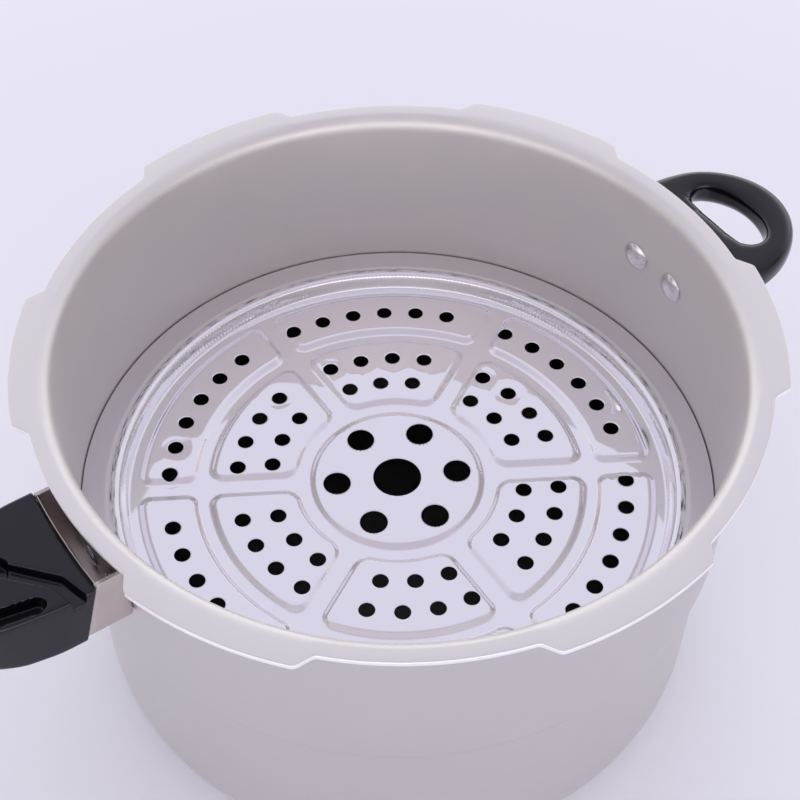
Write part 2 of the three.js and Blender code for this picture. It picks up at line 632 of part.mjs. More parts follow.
function handleTang() {
  const half = TANG_WIDTH / 2;
  const strip = block([TANG_START, -half, TANG_BOTTOM], [TANG_START + TANG_LENGTH, half, TANG_TOP]);
  const rivetHole = TANG_RIVET.shank / 2 + HOLE_CLEARANCE;
  return cutAll(strip, [
    ...screwPlaces.map((x) => screwHole(x, 0, TANG_BOTTOM - 1, TANG_TOP + 1)),
    ...tangRivetPlaces.map(([x, y]) => bar(x, y, TANG_BOTTOM - 1, TANG_TOP + 1, rivetHole)),
  ]);
}

/** An upright rivet through the channel's floor and the tang. */
function tangRivet([x, y]) {
  const shank = TANG_RIVET.shank / 2;
  const head = TANG_RIVET.head / 2;
  const low = CHANNEL_BOTTOM - GAP;
  const high = TANG_TOP + GAP;
  const profile = [
    [0, low - TANG_RIVET.rise],
    [head * 0.75, low - TANG_RIVET.rise],
    [head, low],
    [shank, low],
    [shank, high],
    [head, high],
    [head * 0.75, high + TANG_RIVET.rise],
    [0, high + TANG_RIVET.rise],
  ];
  return turned(profile, FINE_TURN).translate([x, y, 0]);
}

const handleWasherLow = screwSeat - GAP - WASHER.thickness;
const handleScrewLength = TANG_TOP + SCREW_PAST_TANG - (handleWasherLow - GAP);

// The helper handle, modelled pointing along +X and turned to -X with its group

const earScrewX = OUTER_RADIUS + EAR_SCREW_FROM_WALL;
const earScrewPlaces = [-EAR_SCREW_SPACING / 2, EAR_SCREW_SPACING / 2].map((y) => [earScrewX, y]);
const earWasherLow = EAR_LEG_BOTTOM - GAP - WASHER.thickness;

/** Outer outline of the helper handle: a half oval beyond its shoulder, and a slightly narrower root. */
function earOutline() {
  const reach = EAR_REACH - EAR_SHOULDER;
  const oval = arc(0, 0, 1, -90, 90, 14).map(([x, y]) => [EAR_SHOULDER + reach * x, EAR_HALF_WIDTH * y]);
  const narrow = EAR_HALF_WIDTH - EAR_ROOT_TAPER;
  return [[INSIDE_WALL, -narrow], ...oval, [INSIDE_WALL, narrow]];
}

/** Outline of the finger hole: curved on the outside, nearly straight along the pot. */
function fingerHole() {
  const { depth, halfWidth } = FINGER_HOLE;
  const corner = depth * 0.4;
  const middle = HOLE_INNER + corner;
  const bow = arc(0, 0, 1, -90, 90, 10).map(([x, y]) => [middle + (HOLE_OUTER - middle) * x, halfWidth * y]);
  const side = halfWidth - corner;
  const upper = arc(middle, side, corner, 90, 180, 3).slice(1);
  const lower = arc(middle, -side, corner, 180, 270, 3).slice(0, -1);
  return [...bow, ...upper, ...lower];
}

function earHandle() {
  const loopBottom = EAR_TOP - EAR_THICKNESS;
  const near = INSIDE_WALL;
  const rootHalf = EAR_HALF_WIDTH - EAR_ROOT_INSET;
  const loop = raisedRounded(earOutline(), loopBottom, EAR_TOP, EAR_EDGE_ROUND, 3);
  const rootFront = HOLE_INNER - EAR_ROOT_TO_HOLE;
  const rootOutline = [[near, -rootHalf], [rootFront, -rootHalf], [rootFront, rootHalf], [near, rootHalf]];
  const root = raised(rootOutline, EAR_ROOT_BOTTOM, EAR_TOP - EAR_THICKNESS / 2);
  const half = EAR_ANGLE.width / 2 + GAP;
  const plateTop = EAR_LEG_BOTTOM + EAR_ANGLE.height + GAP;
  const plateSeat = wallDisc(PLATE_INNER + EAR_ANGLE.sheet + GAP, EAR_ROOT_BOTTOM - 1, plateTop);
  const plateRoom = block([near, -half, EAR_ROOT_BOTTOM - 2], [OUTER_RADIUS + 20, half, plateTop + 1]);
  const headRoom = RIVET.outerHead / 2 + 1;
  const headsHalf = (EAR_RIVETS.spacing * (EAR_RIVETS.count - 1)) / 2 + headRoom;
  const headsReach = PLATE_INNER + EAR_ANGLE.sheet + RIVET.outerRise + 3 * GAP;
  const headPocket = block([near, -headsHalf, EAR_RIVETS.height - headRoom],
    [headsReach, headsHalf, EAR_RIVETS.height + headRoom]);
  const holeTop = EAR_LEG_TOP + EAR_SCREW_BITE + 2;
  return cutAll(joinAll(loop, [root]), [
    raised(fingerHole(), loopBottom - 20, EAR_TOP + 20),
    wallDisc(OUTER_RADIUS + GAP, EAR_ROOT_BOTTOM - 5, EAR_TOP + 5),
    plateSeat.intersect(plateRoom),
    headPocket,
    ...earScrewPlaces.map(([x, y]) => screwHole(x, y, EAR_ROOT_BOTTOM - 1, holeTop)),
  ]);
}

/** The steel angle under the helper handle: a curved plate on the wall and a leg that the root sits on. */
function earBracket() {
  const half = EAR_ANGLE.width / 2;
  const near = INSIDE_WALL;
  const top = EAR_LEG_BOTTOM + EAR_ANGLE.height;
  const legEnd = OUTER_RADIUS + EAR_ANGLE.depth;
  const whole = block([near, -half, EAR_LEG_BOTTOM], [legEnd, half, top]);
  const above = block([near, -half - 1, EAR_LEG_TOP], [legEnd + 5, half + 1, top + 1]);
  return cutAll(whole, [
    wallDisc(PLATE_INNER, EAR_LEG_BOTTOM - 1, top + 1),
    above.subtract(wallDisc(PLATE_INNER + EAR_ANGLE.sheet, EAR_LEG_BOTTOM - 1, top + 2)),
    ...rivetHoles(EAR_RIVETS),
    ...earScrewPlaces.map(([x, y]) => screwHole(x, y, EAR_LEG_BOTTOM - 1, EAR_LEG_TOP + 1)),
  ]);
}

// Assembly

/** Adds one named piece to a group. */
function addPiece(group, name, solid, material) {
  const mesh = new THREE.Mesh(toGeometry(solid), material);
  mesh.name = name;
  group.add(mesh);
}

const canner = new THREE.Group();
const handleGroup = new THREE.Group();
const earGroup = new THREE.Group();
earGroup.rotation.z = Math.PI;
canner.add(handleGroup, earGroup);

addPiece(canner, "pot_body", potBody(), materials.satinAluminium());
addPiece(canner, "steamer_rack", steamerRack(), materials.polished());

addPiece(handleGroup, "long_handle", longHandle(), materials.phenolic());
addPiece(handleGroup, "handle_bracket", handleBracket(), materials.stainless());
addPiece(handleGroup, "handle_tang", handleTang(), materials.steel());
rivetAngles(HANDLE_RIVETS).forEach((angle, i) => {
  const rivet = wallRivet(HANDLE_RIVETS, angle, PLATE_INNER + CHANNEL_SHEET);
  addPiece(handleGroup, `handle_rivet_${i + 1}`, rivet, materials.satinAluminium());
});
tangRivetPlaces.forEach((place, i) => {
  addPiece(handleGroup, `tang_rivet_${i + 1}`, tangRivet(place), materials.steel());
});
screwPlaces.forEach((x, i) => {
  const head = handleWasherLow - GAP;
  addPiece(handleGroup, `handle_screw_${i + 1}`, screw(x, 0, head, handleScrewLength), materials.steel());
  addPiece(handleGroup, `handle_washer_${i + 1}`, washer(x, 0, handleWasherLow), materials.steel());
});

addPiece(earGroup, "ear_handle", earHandle(), materials.phenolic());
addPiece(earGroup, "ear_bracket", earBracket(), materials.stainless());
rivetAngles(EAR_RIVETS).forEach((angle, i) => {
  const rivet = wallRivet(EAR_RIVETS, angle, PLATE_INNER + EAR_ANGLE.sheet);
  addPiece(earGroup, `ear_rivet_${i + 1}`, rivet, materials.satinAluminium());
});
earScrewPlaces.forEach(([x, y], i) => {
  const head = earWasherLow - GAP;
  const length = EAR_LEG_TOP + EAR_SCREW_BITE - head;
  addPiece(earGroup, `ear_screw_${i + 1}`, screw(x, y, head, length), materials.steel());
  addPiece(earGroup, `ear_washer_${i + 1}`, washer(x, y, earWasherLow), materials.steel());
});

export default canner;
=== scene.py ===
"""The looks of a pressure canner: a pressed aluminium pot with a bayonet rim, a polished steamer rack on the
step in its wall, a phenolic long handle on a stainless channel, and a phenolic helper handle on a steel angle.

Lengths are in millimetres until a mesh is made. The frame is the CAD model's own: +Z up, the origin at the
centre of the flat base, the long handle along +X and the helper handle along -X.
"""

import logging
from dataclasses import dataclass, field
from enum import Enum

import bmesh
import bpy
import numpy as np
from mathutils import Matrix, Vector, geometry


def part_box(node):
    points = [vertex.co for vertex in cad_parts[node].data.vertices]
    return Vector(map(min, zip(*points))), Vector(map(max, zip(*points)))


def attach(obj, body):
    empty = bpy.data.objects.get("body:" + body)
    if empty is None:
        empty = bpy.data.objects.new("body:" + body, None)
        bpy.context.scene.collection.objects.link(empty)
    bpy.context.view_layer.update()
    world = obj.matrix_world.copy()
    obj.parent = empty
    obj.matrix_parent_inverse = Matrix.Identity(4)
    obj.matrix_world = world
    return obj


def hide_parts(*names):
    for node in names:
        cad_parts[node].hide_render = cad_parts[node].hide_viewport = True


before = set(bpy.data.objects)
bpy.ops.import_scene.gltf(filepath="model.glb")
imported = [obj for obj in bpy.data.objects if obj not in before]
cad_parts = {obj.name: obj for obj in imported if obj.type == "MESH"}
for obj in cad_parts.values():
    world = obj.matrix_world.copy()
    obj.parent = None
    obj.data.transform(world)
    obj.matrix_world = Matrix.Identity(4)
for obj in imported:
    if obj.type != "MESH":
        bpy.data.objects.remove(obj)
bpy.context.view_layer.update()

Tree = bpy.types.NodeTree
Socket = bpy.types.NodeSocket

MM = 0.001
log = logging.getLogger("pressure_canner")


class Slot(Enum):
    """The record's material slots."""

    SATIN = "satin_aluminium"
    POLISHED = "polished_aluminium"
    RIVET = "rivet_aluminium"
    STAINLESS = "stainless"
    STEEL = "steel"
    PHENOLIC = "black_phenolic"


class Body(Enum):
    """The bodies that pieces ride on."""

    CANNER = "canner"
    RACK = "rack"


# Curves and surfaces as whole arrays


def soft_ramp(x: np.ndarray, soft: float) -> np.ndarray:
    """Zero below -soft, x itself above +soft, and the parabola (x + soft)^2 / (4 soft) between them.

    Args:
        x: where to take the ramp.
        soft: half the width of the rounded corner.

    Returns:
        The ramp's height at each x.
    """
    corner = (np.clip(x, -soft, soft) + soft) ** 2 / (4 * soft)
    return corner + np.maximum(x - soft, 0.0)


def soft_step(x: np.ndarray, width: float, soft: float) -> np.ndarray:
    """Rises from 0 to 1 while x goes from 0 to width, as the difference of two soft ramps.

    Args:
        x: where to take the step.
        width: how long the rise is.
        soft: half the width of its rounded corners.

    Returns:
        The step's height at each x.
    """
    return (soft_ramp(x, soft) - soft_ramp(x - width, soft)) / width


def soft_line(x: np.ndarray, knots: list[tuple[float, float]], soft: float) -> np.ndarray:
    """A line through the knots with rounded corners: a first slope, and a soft ramp for each change of slope.

    Args:
        x: where to take the line.
        knots: (x, height) pairs in order of x.
        soft: half the width of each rounded corner.

    Returns:
        The line's height at each x.
    """
    places, heights = np.array(knots, float).T
    slopes = np.diff(heights) / np.diff(places)
    line = heights[0] + slopes[0] * (x - places[0])
    turns = np.diff(slopes)
    ramps = soft_ramp(np.asarray(x)[..., None] - places[1:-1], soft)
    return line + (ramps * turns).sum(axis=-1)


def eased_path(corners: list[tuple[float, float]], rounds: list[float], steps: int = 7) -> np.ndarray:
    """A path whose corners are eased: each corner becomes a parabola that starts and ends its round away.

    Args:
        corners: the path's corner points; the first and last stay as they are.
        rounds: how far from each inner corner its easing starts.
        steps: points on each eased corner.

    Returns:
        The path's points, one row each.
    """
    points = np.array(corners, float)
    middle = points[1:-1]
    reach = np.array(rounds, float)[:, None]
    before = points[:-2] - middle
    after = points[2:] - middle
    start = middle + before / np.linalg.norm(before, axis=1, keepdims=True) * reach
    end = middle + after / np.linalg.norm(after, axis=1, keepdims=True) * reach
    t = np.linspace(0, 1, steps)[:, None, None]
    bends = (1 - t) ** 2 * start + 2 * t * (1 - t) * middle + t**2 * end
    return np.concatenate([points[:1], bends.transpose(1, 0, 2).reshape(-1, 2), points[-1:]])


def divided(path: np.ndarray, longest: float) -> np.ndarray:
    """The same path with extra points, so that no straight run is longer than a given length.

    Args:
        path: points of the path, one row each.
        longest: the longest run allowed.

    Returns:
        The path with its long runs divided evenly.
    """
    runs = np.linalg.norm(np.diff(path, axis=0), axis=1)
    parts = np.maximum(np.ceil(runs / longest), 1).astype(int)
    start = np.repeat(np.arange(len(runs)), parts)
    along = np.concatenate([np.arange(count) / count for count in parts])
    inner = path[start] + (path[start + 1] - path[start]) * along[:, None]
    return np.concatenate([inner, path[-1:]])


def grid_faces(rows: int, columns: int, wrap_rows: bool = False, wrap_columns: bool = True) -> np.ndarray:
    """Quads of a grid whose points are numbered row by row; a wrapped side joins its last line to its first.

    Args:
        rows: points down the grid.
        columns: points across the grid.
        wrap_rows: whether the last row joins the first.
        wrap_columns: whether the last column joins the first.

    Returns:
        Four point numbers for each quad.
    """
    row = np.arange(rows if wrap_rows else rows - 1)
    column = np.arange(columns if wrap_columns else columns - 1)
    row, column = np.meshgrid(row, column, indexing="ij")
    next_row, next_column = (row + 1) % rows, (column + 1) % columns
    corners = [row * columns + column, next_row * columns + column]
    corners += [next_row * columns + next_column, row * columns + next_column]
    return np.stack(corners, axis=-1).reshape(-1, 4)


def enclosed_volume(points: np.ndarray, faces: np.ndarray) -> float:
    """Signed volume inside a closed mesh: the sum of a . (b x c) / 6 over fans of each face.

    Args:
        points: the mesh's points.
        faces: point numbers of each face.

    Returns:
        The volume, positive when the faces point outwards.
    """
    total = 0.0
    for corner in range(1, faces.shape[1] - 1):
        a, b, c = points[faces[:, 0]], points[faces[:, corner]], points[faces[:, corner + 1]]
        total += float((a * np.cross(b, c)).sum()) / 6
    return total


def make_piece(name: str, points: np.ndarray, faces: np.ndarray, merge: bool = True) -> bpy.types.Object:
    """A smooth-shaded object at the origin from points in millimetres, with its faces pointing outwards.

    Args:
        name: the piece's name.
        points: its points, with three values each.
        faces: point numbers of each face.
        merge: whether points in one place become one, which closes seams and poles.

    Returns:
        The new object.
    """
    place = np.ascontiguousarray(points.reshape(-1, 3) * MM, dtype=np.float32)
    corners = faces if enclosed_volume(place, faces) > 0 else faces[:, ::-1]
    mesh = bpy.data.meshes.new(name)
    mesh.vertices.add(len(place))
    mesh.vertices.foreach_set("co", place.ravel())
    mesh.loops.add(corners.size)
    mesh.loops.foreach_set("vertex_index", np.ascontiguousarray(corners, dtype=np.int32).ravel())
    mesh.polygons.add(len(corners))
    mesh.polygons.foreach_set("loop_start", np.arange(0, corners.size, corners.shape[1], dtype=np.int32))
    mesh.update(calc_edges=True)
    if merge:
        work = bmesh.new()
        work.from_mesh(mesh)
        bmesh.ops.remove_doubles(work, verts=work.verts, dist=0.002 * MM)
        bmesh.ops.dissolve_degenerate(work, edges=work.edges, dist=0.001 * MM)
        work.to_mesh(mesh)
        work.free()
    mesh.shade_smooth()
    piece = bpy.data.objects.new(name, mesh)
    bpy.context.scene.collection.objects.link(piece)
    return piece


def turned_points(profile: np.ndarray, angles: np.ndarray) -> np.ndarray:
    """A profile of (radius, height) turned about Z: x = r cos a, y = r sin a, z = h.

    Args:
        profile: radius and height of each row.
        angles: direction of each column, in radians.

    Returns:
        Points on a grid of profile rows by angle columns.
    """
    radius, height = profile[:, :1], profile[:, 1:]
    flat = [radius * np.cos(angles), radius * np.sin(angles), height + 0 * angles]
    return np.stack(flat, axis=-1)


def along_x(points: np.ndarray) -> np.ndarray:
    """Points whose Z axis is turned to lie along +X: (x, y, z) becomes (z, y, -x)."""
    return np.stack([points[..., 2], points[..., 1], -points[..., 0]], axis=-1)


def about_z(points: np.ndarray, angle: float) -> np.ndarray:
    """Points turned about Z by an angle in radians.

    Args:
        points: the points to turn.
        angle: how far, anticlockwise from above.

    Returns:
        The turned points.
    """
    cos, sin = np.cos(angle), np.sin(angle)
    x, y, z = points[..., 0], points[..., 1], points[..., 2]
    return np.stack([cos * x - sin * y, sin * x + cos * y, z], axis=-1)


def on_circle(radius: float, angles: np.ndarray) -> np.ndarray:
    """Points of a circle about the origin in plan: (r cos a, r sin a)."""
    return radius * np.stack([np.cos(angles), np.sin(angles)], axis=-1)


def even_angles(count: int) -> np.ndarray:
    """Directions spread evenly round a full turn, in radians."""
    return np.arange(count) * 2 * np.pi / count


def closed_ends(points: np.ndarray) -> np.ndarray:
    """A grid whose first and last rows are each followed by their own middle, which closes both ends.

    Args:
        points: sections, one row each, with wrapped columns.

    Returns:
        The grid with a row of repeated middles before and after it.
    """
    first = np.broadcast_to(points[:1].mean(axis=1, keepdims=True), points[:1].shape)
    last = np.broadcast_to(points[-1:].mean(axis=1, keepdims=True), points[-1:].shape)
    return np.concatenate([first, points, last])


def rounded_section(half_width: float, half_height: float, corner: float, steps: int = 6) -> np.ndarray:
    """A rounded rectangle: quarter circles of the corner radius about points set in from the four corners.

    Args:
        half_width: half its width.
        half_height: half its height.
        corner: the radius of its corners.
        steps: points on each corner.

    Returns:
        Points round the section, anticlockwise.
    """
    turn = np.linspace(0, np.pi / 2, steps)[None, :] + np.arange(4)[:, None] * np.pi / 2
    side_x = np.array([1, -1, -1, 1])[:, None] * (half_width - corner)
    side_y = np.array([1, 1, -1, -1])[:, None] * (half_height - corner)
    return np.stack([side_x + corner * np.cos(turn), side_y + corner * np.sin(turn)], axis=-1).reshape(-1, 2)


def sheet_along(path: np.ndarray, thickness: float, low: float, high: float, edge: float) -> np.ndarray:
    """An upright strip of sheet that follows a path in plan: a rounded section along the path's normal.

    Args:
        path: x and y along the middle of the sheet.
        thickness: the sheet's thickness.
        low: height of its lower edge.
        high: height of its upper edge.
        edge: how far its edges are rounded.

    Returns:
        A closed grid of points.
    """
    section = rounded_section(thickness / 2, (high - low) / 2, edge)
    along = np.gradient(path, axis=0)
    along /= np.linalg.norm(along, axis=1, keepdims=True)
    normal = np.stack([along[:, 1], -along[:, 0]], axis=-1)
    plan = path[:, None, :] + section[None, :, :1] * normal[:, None, :]
    height = np.broadcast_to((high + low) / 2 + section[None, :, 1:], (*plan.shape[:2], 1))
    return closed_ends(np.concatenate([plan, height], axis=-1))


def joined(grids: list[np.ndarray]) -> tuple[np.ndarray, np.ndarray]:
    """Several closed grids as one list of points and one of faces.

    Args:
        grids: closed grids with wrapped columns.

    Returns:
        The points and the faces, each grid's faces pointing outwards.
    """
    points, faces, start = [], [], 0
    for grid in grids:
        flat = grid.reshape(-1, 3)
        face = grid_faces(*grid.shape[:2])
        outward = face if enclosed_volume(flat, face) > 0 else face[:, ::-1]
        points.append(flat)
        faces.append(outward + start)
        start += len(flat)
    return np.concatenate(points), np.concatenate(faces)


# Finishes

USUAL_NOISE = (0.3, 0.7)  # the range that most of a noise lies in
LEVEL = (1, 1, 0)  # a vector times this is its level part
UPWARD = (0, 0, 1)


def linear(code: str) -> tuple[float, float, float, float]:
    """An sRGB hex colour as linear red, green, blue and alpha.

    Args:
        code: the colour, such as "#c8c4c0".

    Returns:
        Four linear values.
    """
    parts = np.array([int(code[i : i + 2], 16) for i in (1, 3, 5)]) / 255
    values = np.where(parts <= 0.04045, parts / 12.92, ((parts + 0.055) / 1.055) ** 2.4)
    return (*values.tolist(), 1.0)


def add_node(tree: Tree, kind: str, settings: dict[str | int, object]) -> bpy.types.Node:
    """Adds one node.

    Args:
        tree: the node tree.
        kind: the node's type.
        settings: what each input takes, by its name or number, a value or another node's socket; and values
            for the node's own properties, by name.

    Returns:
        The new node.
    """
    node = tree.nodes.new(kind)
    for key, value in settings.items():
        if isinstance(value, Socket):
            tree.links.new(value, node.inputs[key])
        elif isinstance(key, int) or key in node.inputs:
            node.inputs[key].default_value = value
        else:
            setattr(node, key, value)
    return node


def remap(
    tree: Tree,
    value: Socket,
    start: float,
    end: float,
    to: tuple = (0.0, 1.0),
    easing: str = "LINEAR",
) -> Socket:
    """A value carried from one range to another and held at its ends.

    Args:
        tree: the node tree.
        value: the socket to carry.
        start: where the first range starts; it may be above the end.
        end: where the first range ends.
        to: what the start and the end become, each a value or a socket.
        easing: how it goes between them.

    Returns:
        The result's socket.
    """
    span = {"interpolation_type": easing, "From Min": start, "From Max": end, "To Min": to[0], "To Max": to[1]}
    return add_node(tree, "ShaderNodeMapRange", {**span, "Value": value}).outputs[0]


def calculate(tree: Tree, operation: str, first: object, second: object = 0.0) -> Socket:
    """The socket of one sum, on values or sockets."""
    return add_node(tree, "ShaderNodeMath", {"operation": operation, 0: first, 1: second}).outputs[0]


def vector_maths(tree: Tree, operation: str, first: object, second: object = (0, 0, 0)) -> Socket:
    """The socket of one sum on vectors: a value for a length or a dot product, and a vector otherwise."""
    node = add_node(tree, "ShaderNodeVectorMath", {"operation": operation, 0: first, 1: second})
    return node.outputs["Value" if operation in ("LENGTH", "DOT_PRODUCT") else "Vector"]


def blend(tree: Tree, share: Socket, first: object, second: object) -> Socket:
    """The socket of a colour between two, each a hex code or a socket: the first at 0, the second at 1."""
    ends = [linear(end) if isinstance(end, str) else end for end in (first, second)]
    return add_node(tree, "ShaderNodeMix", {"data_type": "RGBA", 0: share, 6: ends[0], 7: ends[1]}).outputs[2]


def raised(tree: Tree, height: Socket, full_mm: float, under: Socket | None = None) -> Socket:
    """The normal's socket of a fine relief, on top of another one where that is given.

    Args:
        tree: the node tree.
        height: the relief's socket, from 0 to 1.
        full_mm: how high 1 is, in millimetres.
        under: the normal's socket of the relief below it.

    Returns:
        The normal's socket.
    """
    settings = {"Strength": 1.0, "Distance": full_mm * MM, "Height": height}
    if under is not None:
        settings["Normal"] = under
    return add_node(tree, "ShaderNodeBump", settings).outputs[0]


def object_place(tree: Tree) -> Socket:
    """The socket of the piece's own coordinates, in metres."""
    return add_node(tree, "ShaderNodeTexCoord", {}).outputs["Object"]


def shade(tree: Tree, kind: str, settings: dict[str | int, object]) -> None:
    """Ends a material's tree with its shader and the output."""
    shader = add_node(tree, kind, settings)
    add_node(tree, "ShaderNodeOutputMaterial", {"Surface": shader.outputs[0]})


def new_material(name: str) -> tuple[bpy.types.Material, Tree]:
    """An empty node material.

    Args:
        name: the material's name.

    Returns:
        The material and its node tree.
    """
    material = bpy.data.materials.new(name)
    material.use_nodes = True
    material.node_tree.nodes.clear()
    return material, material.node_tree


@dataclass(frozen=True)
class Grain:
    """A noise that varies a finish: the size of its grains, how fine its detail is, and its scale by axis."""

    size_mm: float
    detail: float = 4.0
    stretch: tuple[float, float, float] = (1.0, 1.0, 1.0)
    roughness: float = 0.55

    def noise(self, tree: Tree, place: Socket) -> Socket:
        """Adds the noise, with about one blotch for each grain size.

        Args:
            tree: the material's node tree.
            place: the coordinate socket, in metres.

        Returns:
            The noise's factor socket.
        """
        spread = add_node(tree, "ShaderNodeMapping", {"Scale": self.stretch, "Vector": place}).outputs[0]
        settings = {"Scale": 1 / (self.size_mm * MM), "Detail": self.detail, "Roughness": self.roughness}
        return add_node(tree, "ShaderNodeTexNoise", {**settings, "Vector": spread}).outputs[0]


@dataclass(frozen=True)
class Metal:
    """A bare metal: two close colours in soft blotches, a roughness that wanders, and a fine relief."""

    name: str
    light: str
    dark: str
    smooth: float
    rough: float
    blotch: Grain
    relief: Grain
    relief_mm: float

    def with_painted_light(self, tree: Tree, place: Socket, colour: Socket) -> Socket:
        """The colour with any painted light or shade, from the tree, the coordinates and the metal's own
        colour: here the colour as it is.
        """
        return colour

    def material(self) -> bpy.types.Material:
        """Builds the metal's material, with the shader's default IOR."""
        material, tree = new_material(self.name)
        place = object_place(tree)
        blotch = self.blotch.noise(tree, place)
        settings = {
            "Base Color": self.with_painted_light(tree, place, blend(tree, blotch, self.dark, self.light)),
            "Roughness": remap(tree, blotch, *USUAL_NOISE, (self.smooth, self.rough)),
            "Normal": raised(tree, self.relief.noise(tree, place), self.relief_mm),
            "Metallic": 1.0,
        }
        shade(tree, "ShaderNodeBsdfPrincipled", settings)
        return material


@dataclass(frozen=True)
class PotMetalWithPaintedLight(Metal):
    """A vessel's metal with painted light: painted shade outside its wall, a painted highlight at its rim's
    edge, and painted shade below a height inside it.
    """

    # Painted shade: the outside of the wall is given a darker colour than the inside.
    outside: str = "#d6d2d1"
    # Painted highlight: white on the outward faces above the rim's start.
    painted_edge_highlight: str = "#ffffff"
    rim_from_mm: float = 205.0
    rim_fade_mm: float = 2.0
    # Painted shade: a dark grey deep inside the pot, below the rack.
    painted_deep_shade: str = "#72706e"
    below_mm: float = 104.0
    fade_mm: float = 3.0
    facing_soft: float = 0.15

    def with_painted_light(self, tree: Tree, place: Socket, colour: Socket) -> Socket:
        """Mixes in painted shade where the surface faces out or down, a painted highlight on the outward faces
        above the rim's start, and painted shade deep inside.

        A surface is inside where its normal's height less its part along the radius is above nought.
        """
        height = add_node(tree, "ShaderNodeSeparateXYZ", {0: place}).outputs[2]
        normal = add_node(tree, "ShaderNodeNewGeometry", {}).outputs["Normal"]
        outward = vector_maths(tree, "NORMALIZE", vector_maths(tree, "MULTIPLY", place, LEVEL))
        facing = vector_maths(tree, "DOT_PRODUCT", normal, vector_maths(tree, "SUBTRACT", UPWARD, outward))
        inside = remap(tree, facing, -self.facing_soft, self.facing_soft)
        deep = remap(tree, height, self.below_mm * MM, (self.below_mm - self.fade_mm) * MM)
        lower = remap(tree, height, self.rim_from_mm * MM, (self.rim_from_mm - self.rim_fade_mm) * MM)
        # outside and wall carry the painted shade on the outer faces below the rim; edge carries the painted
        # highlight above it.
        outside = calculate(tree, "SUBTRACT", 1.0, inside)
        wall = calculate(tree, "MULTIPLY", lower, outside)
        edge = calculate(tree, "SUBTRACT", outside, wall)
        skin = blend(tree, wall, colour, self.outside)
        skin = blend(tree, edge, skin, self.painted_edge_highlight)
        # Painted shade deep inside, below the rack.
        return blend(tree, calculate(tree, "MULTIPLY", deep, inside), skin, self.painted_deep_shade)


# Pressed aluminium, chemically matted: a broad soft sheen, warm light grey, with a grain too fine to feel.
# It carries painted shade outside the wall and deep inside, and a painted highlight on the rim's edge.
SATIN_ALUMINIUM = PotMetalWithPaintedLight(
    name="satin_pressed_aluminium",
    light="#ebe8e5",
    dark="#e1dedb",
    smooth=0.50,
    rough=0.60,
    blotch=Grain(38.0, 3.0),
    relief=Grain(0.55, 2.0),
    relief_mm=0.010,
)

# Rivets headed cold from aluminium wire: a bright dome with soft tool marks.
RIVET_ALUMINIUM = Metal(
    name="cold_headed_aluminium",
    light="#f0eff0",
    dark="#dcdbdd",
    smooth=0.12,
    rough=0.24,
    blotch=Grain(3.5, 2.0),
    relief=Grain(1.6, 2.0),
    relief_mm=0.05,
)

# Cold rolled stainless sheet: a satin sheen with a faint roll grain, slightly brown beside the aluminium.
STAINLESS_SHEET = Metal(
    name="rolled_stainless_sheet",
    light="#d3cac6",
    dark="#c2b8b4",
    smooth=0.38,
    rough=0.48,
    blotch=Grain(9.0, 3.0),
    relief=Grain(0.6, 3.0, (1.0, 1.0, 0.08)),
    relief_mm=0.004,
)

# Mild steel under bright zinc: cool grey, crystalline on a small scale.
ZINC_PLATED_STEEL = Metal(
    name="zinc_plated_steel",
    light="#c9cbce",
    dark="#a9acb1",
    smooth=0.24,
    rough=0.38,
    blotch=Grain(2.2, 3.0),
    relief=Grain(0.4, 2.0),
    relief_mm=0.008,
)


